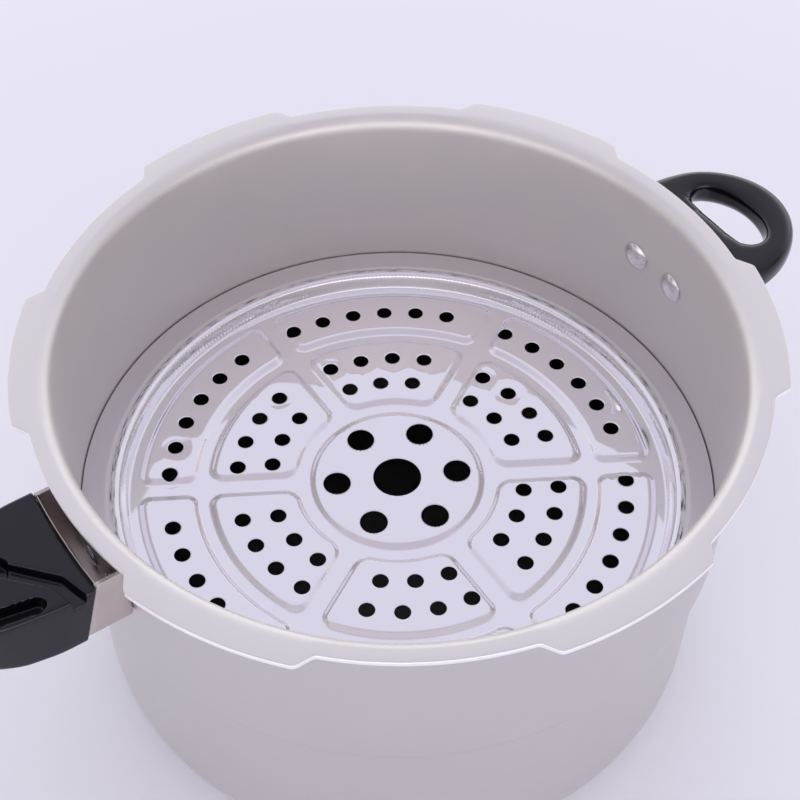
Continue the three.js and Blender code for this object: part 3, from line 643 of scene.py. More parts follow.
@dataclass(frozen=True)
class PolishedRack:
    """Buffed aluminium sheet: a mirror in the pressed middle, duller on the flange that was not buffed.

    The bead was stretched in the press, so it has fine marks; the dark streaks round its outer side are painted
    reflections.
    """

    name: str = "buffed_aluminium_sheet"
    colour: str = "#f1eff3"
    flange_colour: str = "#d9d5d8"
    mirror_roughness: float = 0.045
    flange_roughness: float = 0.30
    flange_start_mm: float = 147.2
    flange_blend_mm: float = 1.2
    wave: Grain = Grain(26.0, 1.0)
    wave_mm: float = 0.16
    stretch_marks: Grain = Grain(2.6, 2.0)
    mark_mm: float = 0.06
    mark_start_mm: float = 137.5
    mark_blend_mm: float = 1.0
    # Painted dark reflections round the bead's outer side: their noise, length, band and colour.
    streaks: Grain = Grain(0.55, 2.0)
    streak_length: float = 16.0
    streak_noise: tuple[float, float] = (0.50, 0.62)
    streak_band_mm: tuple[float, float] = (142.6, 145.6)
    streak_blend_mm: float = 0.5
    painted_reflection_colour: str = "#5f5a66"

    @staticmethod
    def beyond(tree: Tree, distance: Socket, start_mm: float, blend_mm: float) -> Socket:
        """The socket that rises from 0 to 1 past a distance, outwards or, for a negative blend, inwards."""
        return remap(tree, distance, start_mm * MM, (start_mm + blend_mm) * MM)

    def painted_reflection_share(self, tree: Tree, place: Socket, distance: Socket) -> Socket:
        """How far each place is in a painted dark reflection: a noise drawn out round the axis, within the
        streaks' band.

        Args:
            tree: the material's node tree.
            place: the coordinate socket.
            distance: the socket of the distance from the axis.

        Returns:
            The share's socket.
        """
        axes = add_node(tree, "ShaderNodeSeparateXYZ", {0: place}).outputs
        turn = calculate(tree, "ARCTAN2", axes[1], axes[0])
        arc = calculate(tree, "MULTIPLY", turn, self.mark_start_mm * MM / self.streak_length)
        unrolled = add_node(tree, "ShaderNodeCombineXYZ", {0: distance, 1: arc}).outputs[0]
        dark = remap(tree, self.streaks.noise(tree, unrolled), *self.streak_noise)
        start, end = self.streak_band_mm
        past = self.beyond(tree, distance, start, self.streak_blend_mm)
        before = self.beyond(tree, distance, end, -self.streak_blend_mm)
        return calculate(tree, "MULTIPLY", calculate(tree, "MULTIPLY", past, before), dark)

    def material(self) -> bpy.types.Material:
        """Builds the material: distance from the axis says where the buffing ends, where the marks are, and
        where the painted dark reflections are.
        """
        material, tree = new_material(self.name)
        place = object_place(tree)
        distance = vector_maths(tree, "LENGTH", vector_maths(tree, "MULTIPLY", place, LEVEL))
        flange = self.beyond(tree, distance, self.flange_start_mm, self.flange_blend_mm)
        from_mark = self.beyond(tree, distance, self.mark_start_mm, self.mark_blend_mm)
        bead = calculate(tree, "SUBTRACT", from_mark, flange)
        marks = calculate(tree, "MULTIPLY", bead, self.stretch_marks.noise(tree, place))
        sheet = blend(tree, flange, self.colour, self.flange_colour)
        wave = raised(tree, self.wave.noise(tree, place), self.wave_mm)
        settings = {
            # The base colour carries the painted dark reflections on the bead.
            "Base Color": blend(tree, self.painted_reflection_share(tree, place, distance), sheet, self.painted_reflection_colour),
            "Roughness": remap(tree, flange, 0.0, 1.0, (self.mirror_roughness, self.flange_roughness)),
            "Normal": raised(tree, marks, self.mark_mm, wave),
            "Metallic": 1.0,
        }
        shade(tree, "ShaderNodeBsdfPrincipled", settings)
        return material


@dataclass(frozen=True)
class BlackPhenolic:
    """Compression moulded phenolic: near black, a soft gloss, and a faint orange peel from the mould."""

    name: str = "moulded_phenolic"
    colour: str = "#08070e"
    worn: str = "#0e0d16"
    smooth: float = 0.11
    rough: float = 0.18
    blotch: Grain = Grain(14.0, 3.0)
    peel: Grain = Grain(1.4, 2.0)
    peel_mm: float = 0.012
    ior: float = 1.46

    def material(self) -> bpy.types.Material:
        """Builds the material, with the IOR of a rubbed resin skin."""
        material, tree = new_material(self.name)
        place = object_place(tree)
        blotch = self.blotch.noise(tree, place)
        settings = {
            "Base Color": blend(tree, blotch, self.colour, self.worn),
            "Roughness": remap(tree, blotch, *USUAL_NOISE, (self.smooth, self.rough)),
            "Normal": raised(tree, self.peel.noise(tree, place), self.peel_mm),
            "IOR": self.ior,
        }
        shade(tree, "ShaderNodeBsdfPrincipled", settings)
        return material


@dataclass(frozen=True)
class StudioPaper:
    """A sweep of matt background paper, white with a touch of lavender."""

    name: str = "background_paper"
    colour: str = "#f0f1f6"

    def material(self) -> bpy.types.Material:
        """Builds the material: one matt colour."""
        material, tree = new_material(self.name)
        shade(tree, "ShaderNodeBsdfDiffuse", {"Color": linear(self.colour)})
        return material


class Finishes:
    """Every finish's material, made once."""

    def __init__(self) -> None:
        """Builds the materials by slot."""
        self.by_slot = {
            Slot.SATIN: SATIN_ALUMINIUM.material(),
            Slot.POLISHED: PolishedRack().material(),
            Slot.RIVET: RIVET_ALUMINIUM.material(),
            Slot.STAINLESS: STAINLESS_SHEET.material(),
            Slot.STEEL: ZINC_PLATED_STEEL.material(),
            Slot.PHENOLIC: BlackPhenolic().material(),
        }

    def dress(self, piece: bpy.types.Object, slot: Slot, body: Body, *nodes: str) -> None:
        """Gives a piece its finish, its body and the CAD nodes that it stands for.

        Args:
            piece: the finished object.
            slot: the material slot that it takes its finish from.
            body: the body that it rides on.
            nodes: the CAD nodes that it replaces.
        """
        piece.data.materials.append(self.by_slot[slot])
        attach(piece, body.value)
        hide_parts(*nodes)
        faces = len(piece.data.polygons)
        log.info("%s: %d faces on %s, for %s", piece.name, faces, body.value, ", ".join(nodes))


# The pot


@dataclass
class Pot:
    """The pressed pot: a stepped wall and a flat rim with six bayonet lugs."""

    finishes: Finishes
    mouth_radius: float = 160.0
    wall: float = 2.4
    base_thickness: float = 4.0
    step_width: float = 4.5
    base_corner: float = 22.0
    rim_thickness: float = 3.0
    rim_round: float = 7.0
    lug_reach: float = 19.2
    gap_reach: float = 12.4
    lug_count: int = 6
    lug_root_half_angle: float = 14.9
    lug_slope_angle: float = 2.2
    lug_soft_angle: float = 0.45
    ledge: float = 111.3
    neck: float = 3.0
    lug_root: float = 1.5
    lug_end: float = 2.0
    height: float = field(init=False)

    def __post_init__(self) -> None:
        """Takes the height from the CAD pot."""
        self.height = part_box("pot_body")[1].z / MM

    def section(self) -> np.ndarray:
        """Half section of the pot at a lug, as an eased path from under the base, over the rim, to the floor.

        Returns:
            (radius, height) of each row.
        """
        outer, inner = self.mouth_radius + self.wall, self.mouth_radius
        lower = outer - self.step_width
        lug = inner + self.lug_reach
        top, under = self.height, self.height - self.rim_thickness
        corners = [
            (0, 0),
            (lower, 0),
            (lower, self.ledge - 5),
            (outer, self.ledge + 2),
            (outer, under),
            (lug, under),
            (lug, top),
            (inner, top),
            (inner, self.ledge),
            (inner - self.step_width * 0.7, self.ledge),
            (inner - self.step_width, self.ledge - 4),
            (inner - self.step_width, self.base_thickness),
            (0, self.base_thickness),
        ]
        edge = self.rim_thickness * 0.3
        foot = self.base_corner * 1.25
        rounds = [foot, 3.4, 3.4, self.neck, edge, edge, self.rim_round * 1.25, 0.8, 0.9, 1.2, foot - 5]
        return divided(eased_path(corners, rounds, 9), 14.0)

    def rim_edge(self, angles: np.ndarray) -> np.ndarray:
        """How far the rim's edge is drawn in at each direction: none at a lug, the full drop in a gap.

        Args:
            angles: directions in degrees.

        Returns:
            The inset in millimetres.
        """
        pitch = 360 / self.lug_count
        off_lug = np.abs((angles % pitch) - pitch / 2)
        rise = soft_step(self.lug_root_half_angle - off_lug, self.lug_slope_angle, self.lug_soft_angle)
        return (self.lug_reach - self.gap_reach) * (1 - rise)

    def directions(self) -> np.ndarray:
        """Column directions in degrees: every degree, and five times as close on the flanks of the lugs."""
        half = 180 / self.lug_count
        root = half - self.lug_root_half_angle
        before, after = root - 1.2, root + 3.6
        coarse, fine = 1.0, 0.2
        runs = [(0, before, coarse), (before, after, fine), (after, half, coarse)]
        side = np.concatenate([np.arange(*run) for run in runs])
        sector = np.concatenate([side, [half], 2 * half - side[:0:-1]])
        return (sector[None, :] + 2 * half * np.arange(self.lug_count)[:, None]).ravel()

    def build(self) -> bpy.types.Object:
        """The section turned about Z, its rim drawn in between the lugs in proportion to the distance out."""
        section = self.section()
        degrees = self.directions()
        points = turned_points(section, np.radians(degrees))
        radius = section[:, 0]
        root = self.mouth_radius + self.wall + self.lug_root
        end = self.mouth_radius + self.lug_reach - self.lug_end
        share = np.clip((radius - root) / (end - root), 0, 1)
        share = np.where(section[:, 1] > self.height - 2 * self.rim_thickness, share, 0)
        scale = 1 - share[:, None] * self.rim_edge(degrees)[None, :] / np.maximum(radius, 1)[:, None]
        points[..., :2] *= scale[..., None]
        piece = make_piece("pressed_pot", points, grid_faces(*points.shape[:2]))
        self.finishes.dress(piece, Slot.SATIN, Body.CANNER, "pot_body")
        return piece


# The rack

# How far inside a pad's outline, and outside a hole's edge, the sheet has rings of points.
SLOPE_INSETS = (-1.4, -0.9, -0.45, 0.0, 0.45, 0.9, 1.5, 2.1, 2.55, 3.0, 3.45, 3.9, 4.5)
RIM_OFFSETS = (0.0, 0.04, 0.12, 0.3, 0.8, 1.8, 3.4)
# How much of the sheet's thickness is laid off sideways, which keeps its underside from folding at the bends.
UNDERSIDE_DRIFT = 0.35


@dataclass(frozen=True)
class Pad:
    """A raised pad of the rack between two circles and two straight grooves."""

    inner: float
    outer: float
    corner: float


@dataclass(frozen=True)
class HoleRow:
    """A row of holes on a circle, centred on each sector."""

    radius: float
    count: int
    step: float
    diameter: float = 8.0


@dataclass
class SteamerRack:
    """The lift-out rack: one pressed and polished sheet with pads, grooves, a bead and rows of holes."""

    finishes: Finishes
    sheet: float = 1.2
    pad_rise: float = 2.5
    bead_rise: float = 1.5
    flange_rise: float = 4.5
    radius: float = 159.3
    sectors: int = 6
    disc_radius: float = 44.5
    pads: tuple[Pad, Pad] = (Pad(50.3, 96.2, 8.0), Pad(101.5, 131.5, 6.5))
    groove_width: float = 8.0
    slope: float = 3.0
    slope_soft: float = 0.9
    twist: float = 3.9
    centre_hole: float = 24.3
    middle_row: HoleRow = HoleRow(30.9, 1, 0.0, 13.7)
    steam_rows: tuple[HoleRow, ...] = (HoleRow(64.6, 3, 15.1), HoleRow(82.1, 4, 12.05), HoleRow(116.5, 6, 8.59))
    bead: tuple[tuple[float, float], ...] = (
        (130.0, 0.0),
        (137.0, 0.0),
        (140.6, 7.9),
        (143.2, 8.6),
        (146.9, 7.0),
        (160.0, 7.0),
    )
    bead_soft: float = 0.8
    dimple: float = 0.24
    dimple_reach: float = 4.4
    rollover: float = 0.30
    top: float = field(init=False)
    holes: np.ndarray = field(init=False)

    def __post_init__(self) -> None:
        """Takes the height of the pads from the CAD rack, and places the holes."""
        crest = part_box("steamer_rack")[1].z / MM
        self.top = crest - self.flange_rise - self.bead_rise
        self.holes = self.hole_places()

    def hole_places(self) -> np.ndarray:
        """Centre and radius of every hole: one in the middle, and each row spread about each sector.

        Returns:
            x, y and radius of each hole.
        """
        middles = np.arange(self.sectors) * 360 / self.sectors + self.twist
        found = [np.array([[0.0, 0.0, self.centre_hole / 2]])]
        rows = [(self.middle_row, 180 / self.sectors)] + [(row, 0.0) for row in self.steam_rows]
        for row, shift in rows:
            spread = (np.arange(row.count) - (row.count - 1) / 2) * row.step + shift
            angle = np.radians(middles[:, None] + spread[None, :]).ravel()
            places = [row.radius * np.cos(angle), row.radius * np.sin(angle), 0 * angle + row.diameter / 2]
            found.append(np.stack(places, axis=-1))
        return np.concatenate(found)

    def inside_pad(self, x: np.ndarray, y: np.ndarray, pad: Pad) -> np.ndarray:
        """Distance inside a pad's outline, negative outside: to its circles and to the straight grooves.

        Args:
            x: places across.
            y: places up.
            pad: the pad, repeated round the axis.

        Returns:
            The distance in millimetres, with the pad's corners rounded.
        """
        radius = np.hypot(x, y)
        half = np.pi / self.sectors
        off = half - np.abs((np.arctan2(y, x) + half) % (2 * half) - half)
        ends = np.minimum(pad.outer - radius, radius - pad.inner)
        sides = radius * np.sin(off) - self.groove_width / 2
        round_ = pad.corner
        corner = np.hypot(np.maximum(round_ - ends, 0), np.maximum(round_ - sides, 0))
        return round_ - corner + np.maximum(np.minimum(ends, sides) - round_, 0)

    def height(self, x: np.ndarray, y: np.ndarray) -> np.ndarray:
        """Height of the sheet's top: soft steps at the pads and disc, a soft line for the bead, and dimples.

        Args:
            x: places across.
            y: places up.

        Returns:
            The height in millimetres above the base.
        """
        radius = np.hypot(x, y)
        groove = self.top - self.pad_rise
        level = groove + soft_line(radius, list(self.bead), self.bead_soft)
        for pad in self.pads:
            level += self.pad_rise * soft_step(self.inside_pad(x, y, pad), self.slope, self.slope_soft)
        level += self.pad_rise * soft_step(self.disc_radius - radius, self.slope, self.slope_soft)
        off = np.hypot(x[:, None] - self.holes[:, 0], y[:, None] - self.holes[:, 1]) - self.holes[:, 2]
        near = off.min(axis=1)
        level -= self.dimple * np.exp(-((np.maximum(near, 0) / self.dimple_reach) ** 2))
        edge = np.clip(1 - near / self.rollover, 0, 1)
        return level - self.rollover * (1 - np.sqrt(1 - np.minimum(edge, 0.999) ** 2))

    def pad_ring(self, pad: Pad, inset: float, spacing: float) -> np.ndarray:
        """Points on a pad's outline moved inwards by an inset, for every sector.

        Args:
            pad: the pad.
            inset: how far inwards, negative for outwards.
            spacing: distance between the points.

        Returns:
            x and y of each point.
        """
        half = np.pi / self.sectors
        round_ = max(pad.corner - inset, 0.4)
        aside = self.groove_width / 2 + inset + round_
        far, near = pad.outer - inset - round_, pad.inner + inset + round_
        far_off, near_off = np.arcsin(aside / far), np.arcsin(aside / near)
        arcs = [
            (0.0, 0.0, pad.outer - inset, -(half - far_off), half - far_off),
            (far, half - far_off, round_, half - far_off, half + np.pi / 2),
            (near, half - near_off, round_, half + np.pi / 2, np.pi + half - near_off),
            (0.0, 0.0, pad.inner + inset, half - near_off, -(half - near_off)),
            (near, near_off - half, round_, np.pi - half + near_off, 1.5 * np.pi - half),
            (far, far_off - half, round_, -half - np.pi / 2, far_off - half),
        ]
        runs = []
        for reach, direction, size, start, end in arcs:
            angle = np.linspace(start, end, max(int(size * abs(end - start) / 0.4), 4))
            middle = on_circle(reach, np.array(direction))
            runs.append(middle + on_circle(size, angle))
        loop = np.concatenate([*runs, runs[0][:1]])
        length = np.concatenate([[0], np.cumsum(np.linalg.norm(np.diff(loop, axis=0), axis=1))])
        places = np.arange(0, length[-1] - spacing / 2, spacing)
        even = np.stack([np.interp(places, length, loop[:, axis]) for axis in (0, 1)], axis=-1)
        turns = np.arange(self.sectors) * 2 * half
        cos, sin = np.cos(turns)[:, None], np.sin(turns)[:, None]
        x, y = even[:, 0], even[:, 1]
        return np.stack([cos * x - sin * y, sin * x + cos * y], axis=-1).reshape(-1, 2)

    def plan_points(self) -> np.ndarray:
        """Plan of the sheet's points: rings on every slope and round every hole, and a wide lattice between.

        The middle hole is wider than the others, so its rings have more points.

        Returns:
            x and y of each point, with none in a hole.
        """
        slopes = [self.pad_ring(pad, inset, 2.1) for pad in self.pads for inset in SLOPE_INSETS]
        rings = [self.disc_radius - inset for inset in SLOPE_INSETS]
        rings += np.arange(135.6, 148.6, 0.6).tolist() + [self.radius - back for back in (0, 0.15, 0.5, 3.0)]
        circles = [on_circle(radius, even_angles(int(radius * 2 * np.pi / 2.2))) for radius in rings]
        rims = []
        for back in RIM_OFFSETS:
            angle = even_angles(24) + back
            reach = (self.holes[:, 2] + back)[:, None]
            x = self.holes[:, :1] + reach * np.cos(angle)
            y = self.holes[:, 1:2] + reach * np.sin(angle)
            rims.append(np.stack([x, y], axis=-1).reshape(-1, 2))
        wide = [on_circle(self.centre_hole / 2 + back, even_angles(72)) for back in RIM_OFFSETS[:-1]]
        rims.append(np.concatenate(wide))
        pitch = 3.2
        rows = np.arange(-50, 51)
        across, up = np.meshgrid(rows * pitch, rows * pitch * np.sqrt(0.75))
        across = across + (np.arange(len(rows))[:, None] % 2) * pitch / 2
        lattice = np.stack([across, up], axis=-1).reshape(-1, 2)
        lattice = lattice[self.is_flat(lattice)]
        structured = np.concatenate(slopes + circles)
        structured = structured[self.hole_distance(structured) > 3.9]
        return np.concatenate([*rims, structured, lattice])

    def hole_distance(self, plan: np.ndarray) -> np.ndarray:
        """Distance from each point to the nearest hole's edge, negative inside it."""
        off = np.hypot(plan[:, :1] - self.holes[:, 0], plan[:, 1:2] - self.holes[:, 1]) - self.holes[:, 2]
        return off.min(axis=1)

    def is_flat(self, plan: np.ndarray) -> np.ndarray:
        """Whether each point is clear of the slopes, the bead, the rims of the holes and the sheet's edge."""
        x, y = plan[:, 0], plan[:, 1]
        radius = np.hypot(x, y)
        clear = (radius < self.radius - 4.2) & (self.hole_distance(plan) > 4.6)
        for pad in self.pads:
            inside = self.inside_pad(x, y, pad)
            clear &= (inside < -2.4) | (inside > 5.6)
        clear &= np.abs(self.disc_radius - 1.5 - radius) > 4.2
        return clear & ((radius < 134.2) | (radius > 149.6))

    def build(self) -> bpy.types.Object:
        """Triangulates the plan, lifts it to the height function, and closes it with an underside and walls.

        The underside is the top moved along the sheet's normal by its thickness, and each open edge of the
        top is joined to the same edge below.
        """
        plan = self.plan_points()
        result = geometry.delaunay_2d_cdt([Vector(p) for p in plan.tolist()], [], [], 0, 1e-4)
        plan = np.array(result[0])
        faces = np.array(result[2])
        middle = plan[faces].mean(axis=1)
        faces = faces[self.hole_distance(middle) > 0.0]
        x, y = plan[:, 0], plan[:, 1]
        top = np.stack([x, y, self.height(x, y)], axis=-1)
        step = 0.02
        slope_x = (self.height(x + step, y) - self.height(x - step, y)) / (2 * step)
        slope_y = (self.height(x, y + step) - self.height(x, y - step)) / (2 * step)
        normal = np.stack([-slope_x, -slope_y, 0 * x + 1], axis=-1)
        normal /= np.linalg.norm(normal, axis=1, keepdims=True)
        bottom = top - normal * self.sheet * np.array([UNDERSIDE_DRIFT, UNDERSIDE_DRIFT, 1.0])
        count = len(top)
        edges = np.concatenate([faces[:, [0, 1]], faces[:, [1, 2]], faces[:, [2, 0]]])
        keys = edges.min(axis=1).astype(np.int64) * count + edges.max(axis=1)
        _, first, uses = np.unique(keys, return_index=True, return_counts=True)
        open_edges = edges[first[uses == 1]]
        a, b = open_edges[:, 0], open_edges[:, 1]
        walls = [np.stack([b, a, a + count], axis=-1), np.stack([b, a + count, b + count], axis=-1)]
        shell = np.concatenate([faces, faces[:, ::-1] + count, *walls])
        piece = make_piece("polished_rack", np.concatenate([top, bottom]), shell, merge=False)
        bends = np.concatenate([normal, -normal])
        piece.data.normals_split_custom_set_from_vertices(bends.tolist())
        self.finishes.dress(piece, Slot.POLISHED, Body.RACK, "steamer_rack")
        return piece


# Fasteners


def node_centre(node: str) -> np.ndarray:
    """Middle of a CAD node's box, in millimetres."""
    low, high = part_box(node)
    return (np.array(low) + np.array(high)) / 2 / MM


def node_heights(node: str) -> tuple[float, float]:
    """Lowest and highest point of a CAD node, in millimetres."""
    low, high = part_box(node)
    return low.z / MM, high.z / MM


@dataclass
class WallRivets:
    """Rivets through the pot's wall: a broad low dome inside the pot, and a smaller head outside."""

    finishes: Finishes
    nodes: tuple[str, ...]
    seat: float = 159.72
    head: float = 7.75
    rise: float = 3.2
    rim: float = 0.7
    shank: float = 3.0
    tail: float = 5.5
    tail_rise: float = 1.4
    tail_rim: float = 0.4
    plate_outer: float = 164.85
    dome_power: float = 2.3

    def profile(self) -> np.ndarray:
        """Half section: a dome whose height falls with a power of the radius, a shank and a low dome."""
        radius = np.sin(np.linspace(0, np.pi / 2, 16))
        fall = radius**self.dome_power
        dome = np.stack([self.head * radius, -self.rim - (self.rise - self.rim) * (1 - fall)], axis=-1)
        length = self.plate_outer - self.seat
        low = self.tail_rim
        tail = np.stack([self.tail * radius, length + low + (self.tail_rise - low) * (1 - fall)], axis=-1)[::-1]
        edge = np.array([[self.head + 0.12, -0.35], [self.head, 0.2], [self.shank, 0.25], [self.shank, length]])
        return np.concatenate([dome, edge, [[self.tail, length]], tail])

    def build(self) -> None:
        """Turns each rivet, lays it along the wall's radius, and puts it where its CAD node is."""
        laid = along_x(turned_points(self.profile(), even_angles(64)))
        for node in self.nodes:
            centre = node_centre(node)
            placed = laid + np.array([self.seat, 0, centre[2]])
            points = about_z(placed, float(np.arctan2(centre[1], centre[0])))
            piece = make_piece(f"domed_{node}", points, grid_faces(*points.shape[:2]))
            self.finishes.dress(piece, Slot.RIVET, Body.CANNER, node)


@dataclass
class UprightFasteners:
    """Screws, washers and small rivets that stand upright, each where its CAD node is."""

    finishes: Finishes
    prefix: str
    shank: float = 3.0
    head: float = 5.5
    head_rise: float = 2.4
    slot_width: float = 1.2
    slot_depth: float = 1.1
    washer_inner: float = 3.25
    washer_outer: float = 6.0
    small_shank: float = 2.5
    small_head: float = 4.25
    small_rise: float = 1.2

    def place(self, node: str, points: np.ndarray, wrap_rows: bool = False) -> None:
        """Moves a fastener over its node's middle, and dresses it.

        Args:
            node: the CAD node that it stands for.
            points: its grid about the Z axis, at its real height.
            wrap_rows: whether its profile closes on itself.
        """
        centre = node_centre(node)
        placed = points + np.array([centre[0], centre[1], 0])
        piece = make_piece(f"turned_{node}", placed, grid_faces(*placed.shape[:2], wrap_rows=wrap_rows))
        self.finishes.dress(piece, Slot.STEEL, Body.CANNER, node)

    def screw(self, node: str) -> None:
        """A pan-head screw that points up: an eased profile, with a slot sunk in the underside of its head."""
        low, high = node_heights(node)
        under = low + self.head_rise
        corners = [(0, low), (self.head, low), (self.head, under)]
        corners += [(self.shank, under), (self.shank, high), (0, high)]
        profile = divided(eased_path(corners, [1.7, 0.3, 0.2, 0.5], 8), 0.35)
        points = turned_points(profile, even_angles(96))
        across = np.abs(points[..., 1])
        sunk = low + self.slot_depth * soft_step(self.slot_width / 2 + 0.15 - across, 0.3, 0.1)
        on_head = (profile[:, 1] < under - 0.4)[:, None]
        points[..., 2] = np.where(on_head, np.maximum(points[..., 2], sunk), points[..., 2])
        self.place(node, points)

    def washer(self, node: str) -> None:
        """A flat washer: a rounded rectangle turned about the axis."""
        low, high = node_heights(node)
        middle = (self.washer_inner + self.washer_outer) / 2
        section = rounded_section((self.washer_outer - self.washer_inner) / 2, (high - low) / 2, 0.2)
        profile = section + np.array([middle, (high + low) / 2])
        self.place(node, turned_points(profile, even_angles(64)), wrap_rows=True)

    def small_rivet(self, node: str) -> None:
        """A rivet with a low dome at both ends, each falling with the square of the radius."""
        low, high = node_heights(node)
        radius = np.sin(np.linspace(0, np.pi / 2, 10))
        fall = (self.small_rise - 0.25) * radius**2
        head = self.small_head * radius
        bottom = np.stack([head, low + fall], axis=-1)
        top = np.stack([head, high - fall], axis=-1)[::-1]
        radii = [self.small_head, self.small_shank, self.small_shank, self.small_head]
        heights = [low + self.small_rise] * 2 + [high - self.small_rise] * 2
        profile = np.concatenate([bottom, np.stack([radii, heights], axis=-1), top])
        self.place(node, turned_points(profile, even_angles(48)))

    def build(self) -> None:
        """Makes every screw, washer and small rivet whose node has this prefix."""
        makers = {"screw": self.screw, "washer": self.washer, "tang_rivet": self.small_rivet}
        for node in sorted(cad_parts):
            for kind, make in makers.items():
                if node.startswith(self.prefix) and kind in node:
                    make(node)


# The long handle


@dataclass(frozen=True)
class Track:
    """A recess in the handle's top that follows a path in plan."""

    path: tuple[tuple[float, float], ...]
    half_width: float
    depth: float

    def sink(self, x: np.ndarray, y: np.ndarray) -> np.ndarray:
        """Depth at each place: a soft step of the distance to the nearest stretch of the path.

        Args:
            x: places along the handle.
            y: places across it.

        Returns:
            How deep the recess is there.
        """
        corners = np.array(self.path if len(self.path) > 1 else self.path * 2, float)
        start, run = corners[:-1], np.diff(corners, axis=0)
        off = np.stack([x, y], axis=-1)[..., None, :] - start
        length = np.maximum((run**2).sum(axis=-1), 1e-9)
        share = np.clip((off * run).sum(axis=-1) / length, 0, 1)
        away = np.linalg.norm(off - share[..., None] * run, axis=-1).min(axis=-1)
        return self.depth * soft_step(self.half_width + 0.3 - away, 0.6, 0.18)


@dataclass
class LongHandle:
    """The phenolic long handle: a broad boxy root with the lid-lock recesses, swept down to an oval grip."""

    finishes: Finishes
    end_slope: float = 9.6
    hollow: float = 1.7
    edge: float = 0.9
    root_corner: float = 2.2
    waist_in: float = 3.5
    shoulder_out: float = 2.5
    grip_half_width: float = 18.0
    grip_waist: float = 17.0
    dip: float = 4.0
    grip_depth: float = 22.0
    nose: float = 17.0
    nose_tip: float = 0.02
    nose_depth_power: float = 0.7
    seat: tuple[float, float] = (32.0, -3.0)
    screw_bore: tuple[float, float] = (6.5, 4.4)
    eye: tuple[float, float, float] = (20.0, 6.5, 4.5)
    root: float = field(init=False)
    end: float = field(init=False)
    low: float = field(init=False)
    top: float = field(init=False)
    half: float = field(init=False)

    def __post_init__(self) -> None:
        """Takes the handle's ends, heights and width from the CAD node."""
        low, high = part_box("long_handle")
        self.root, self.end = low.x / MM, high.x / MM
        self.low, self.top = low.z / MM, high.z / MM
        self.half = high.y / MM

    def recesses(self) -> list[Track]:
        """The cam groove that runs out at the edge, its round seat, and the lock slot."""
        root, half = self.root, self.half
        seat = (root + self.seat[0], self.seat[1])
        groove = Track((seat, (root + 12, half - 13), (root + 6, half + 6)), 3.5, 5.0)
        slot = Track(((root + 25, half - 7.5), (root + 44, half - 11)), 4.3, 7.0)
        return [groove, Track((seat,), 6.0, 7.0), slot]

    def stations(self) -> np.ndarray:
        """Distances along the handle: close over the recesses, wide along the grip, close again at the nose."""
        rim = np.array([0, 0.08, 0.25, 0.5, 0.9])
        fine = np.arange(1.3, 54, 0.36)
        long_ = np.arange(55, self.end - self.root - self.nose, 4.0)
        nose = self.end - self.root - self.nose + self.nose * np.sin(np.linspace(0, np.pi / 2, 16))
        return self.root + np.concatenate([rim, fine, long_, nose])

    def columns(self, half_width: np.ndarray, half_depth: np.ndarray, corner: np.ndarray) -> np.ndarray:
        """A rounded rectangle at each station, with close points across its top and its underside.

        Args:
            half_width: half the width at each station.
            half_depth: half the depth at each station.
            corner: radius of the corners at each station.

        Returns:
            y and z about the section's middle, by station and column.
        """
        flat = (half_width - corner)[:, None]
        tall = (half_depth - corner)[:, None]
        turn = np.linspace(0, np.pi / 2, 8)
        across_top = np.linspace(1, -1, 181)
        upright = np.linspace(1, -1, 12)[1:-1]
        across_low = np.linspace(-1, 1, 61)
        radius = corner[:, None]
        runs = [
            (flat + radius * np.cos(turn), tall + radius * np.sin(turn)),
            (flat * across_top, tall + radius + 0 * across_top),
            (-flat - radius * np.sin(turn), tall + radius * np.cos(turn)),
            (-flat - radius + 0 * upright, tall * upright),
            (-flat - radius * np.cos(turn), -tall - radius * np.sin(turn)),
            (flat * across_low, -tall - radius + 0 * across_low),
            (flat + radius * np.sin(turn), -tall - radius * np.cos(turn)),
            (flat + radius + 0 * upright, -tall * upright),
        ]
        return np.stack([np.concatenate([run[axis] for run in runs], axis=1) for axis in (0, 1)], axis=-1)

    def surface(self) -> np.ndarray:
        """Sections along the handle, with the recesses sunk into the top and the bores into the underside.

        The end face leans with the depth below the top, and is hollow in plan to follow the pot.
        """
        x = self.stations()
        root, end = self.root, self.end
        width, high, low = self.lines(x)
        round_nose = np.sqrt(np.clip(1 - (np.maximum(x - (end - self.nose), 0) / self.nose) ** 2, 0, 1))
        back = np.maximum(self.edge - (x - root), 0)
        inset = self.edge - np.sqrt(self.edge**2 - back**2)
        narrow = np.maximum(round_nose, self.nose_tip)
        half_width = width * narrow - inset
        half_depth = (high - low) / 2 * narrow**self.nose_depth_power - inset
        share = soft_step(x - root - 40, 50, 8)
        corner = self.root_corner + (np.minimum(half_width, half_depth) - 0.3 - self.root_corner) * share
        corner = np.minimum(corner, np.minimum(half_width, half_depth) * 0.98)
        section = self.columns(half_width, half_depth, corner)
        y, z = section[..., 0], section[..., 1] + ((high + low) / 2)[:, None]
        along = np.broadcast_to(x[:, None], y.shape)
        sink = np.max([track.sink(along, y) for track in self.recesses()], axis=0)
        z = np.where(z > self.low + 10, np.minimum(z, np.maximum(high[:, None], z) - sink), z)
        z = np.where(z < self.low + 4, np.maximum(z, self.low + self.bores(along, y)), z)
        lean = self.end_slope * (self.top - z) / (self.top - self.low) * (1 - soft_step(along - root, 40, 5))
        hollow = self.hollow * (1 - (y / self.half) ** 2) * (1 - soft_step(along - root, 9, 2))
        return np.stack([along + lean + hollow, y, z], axis=-1)

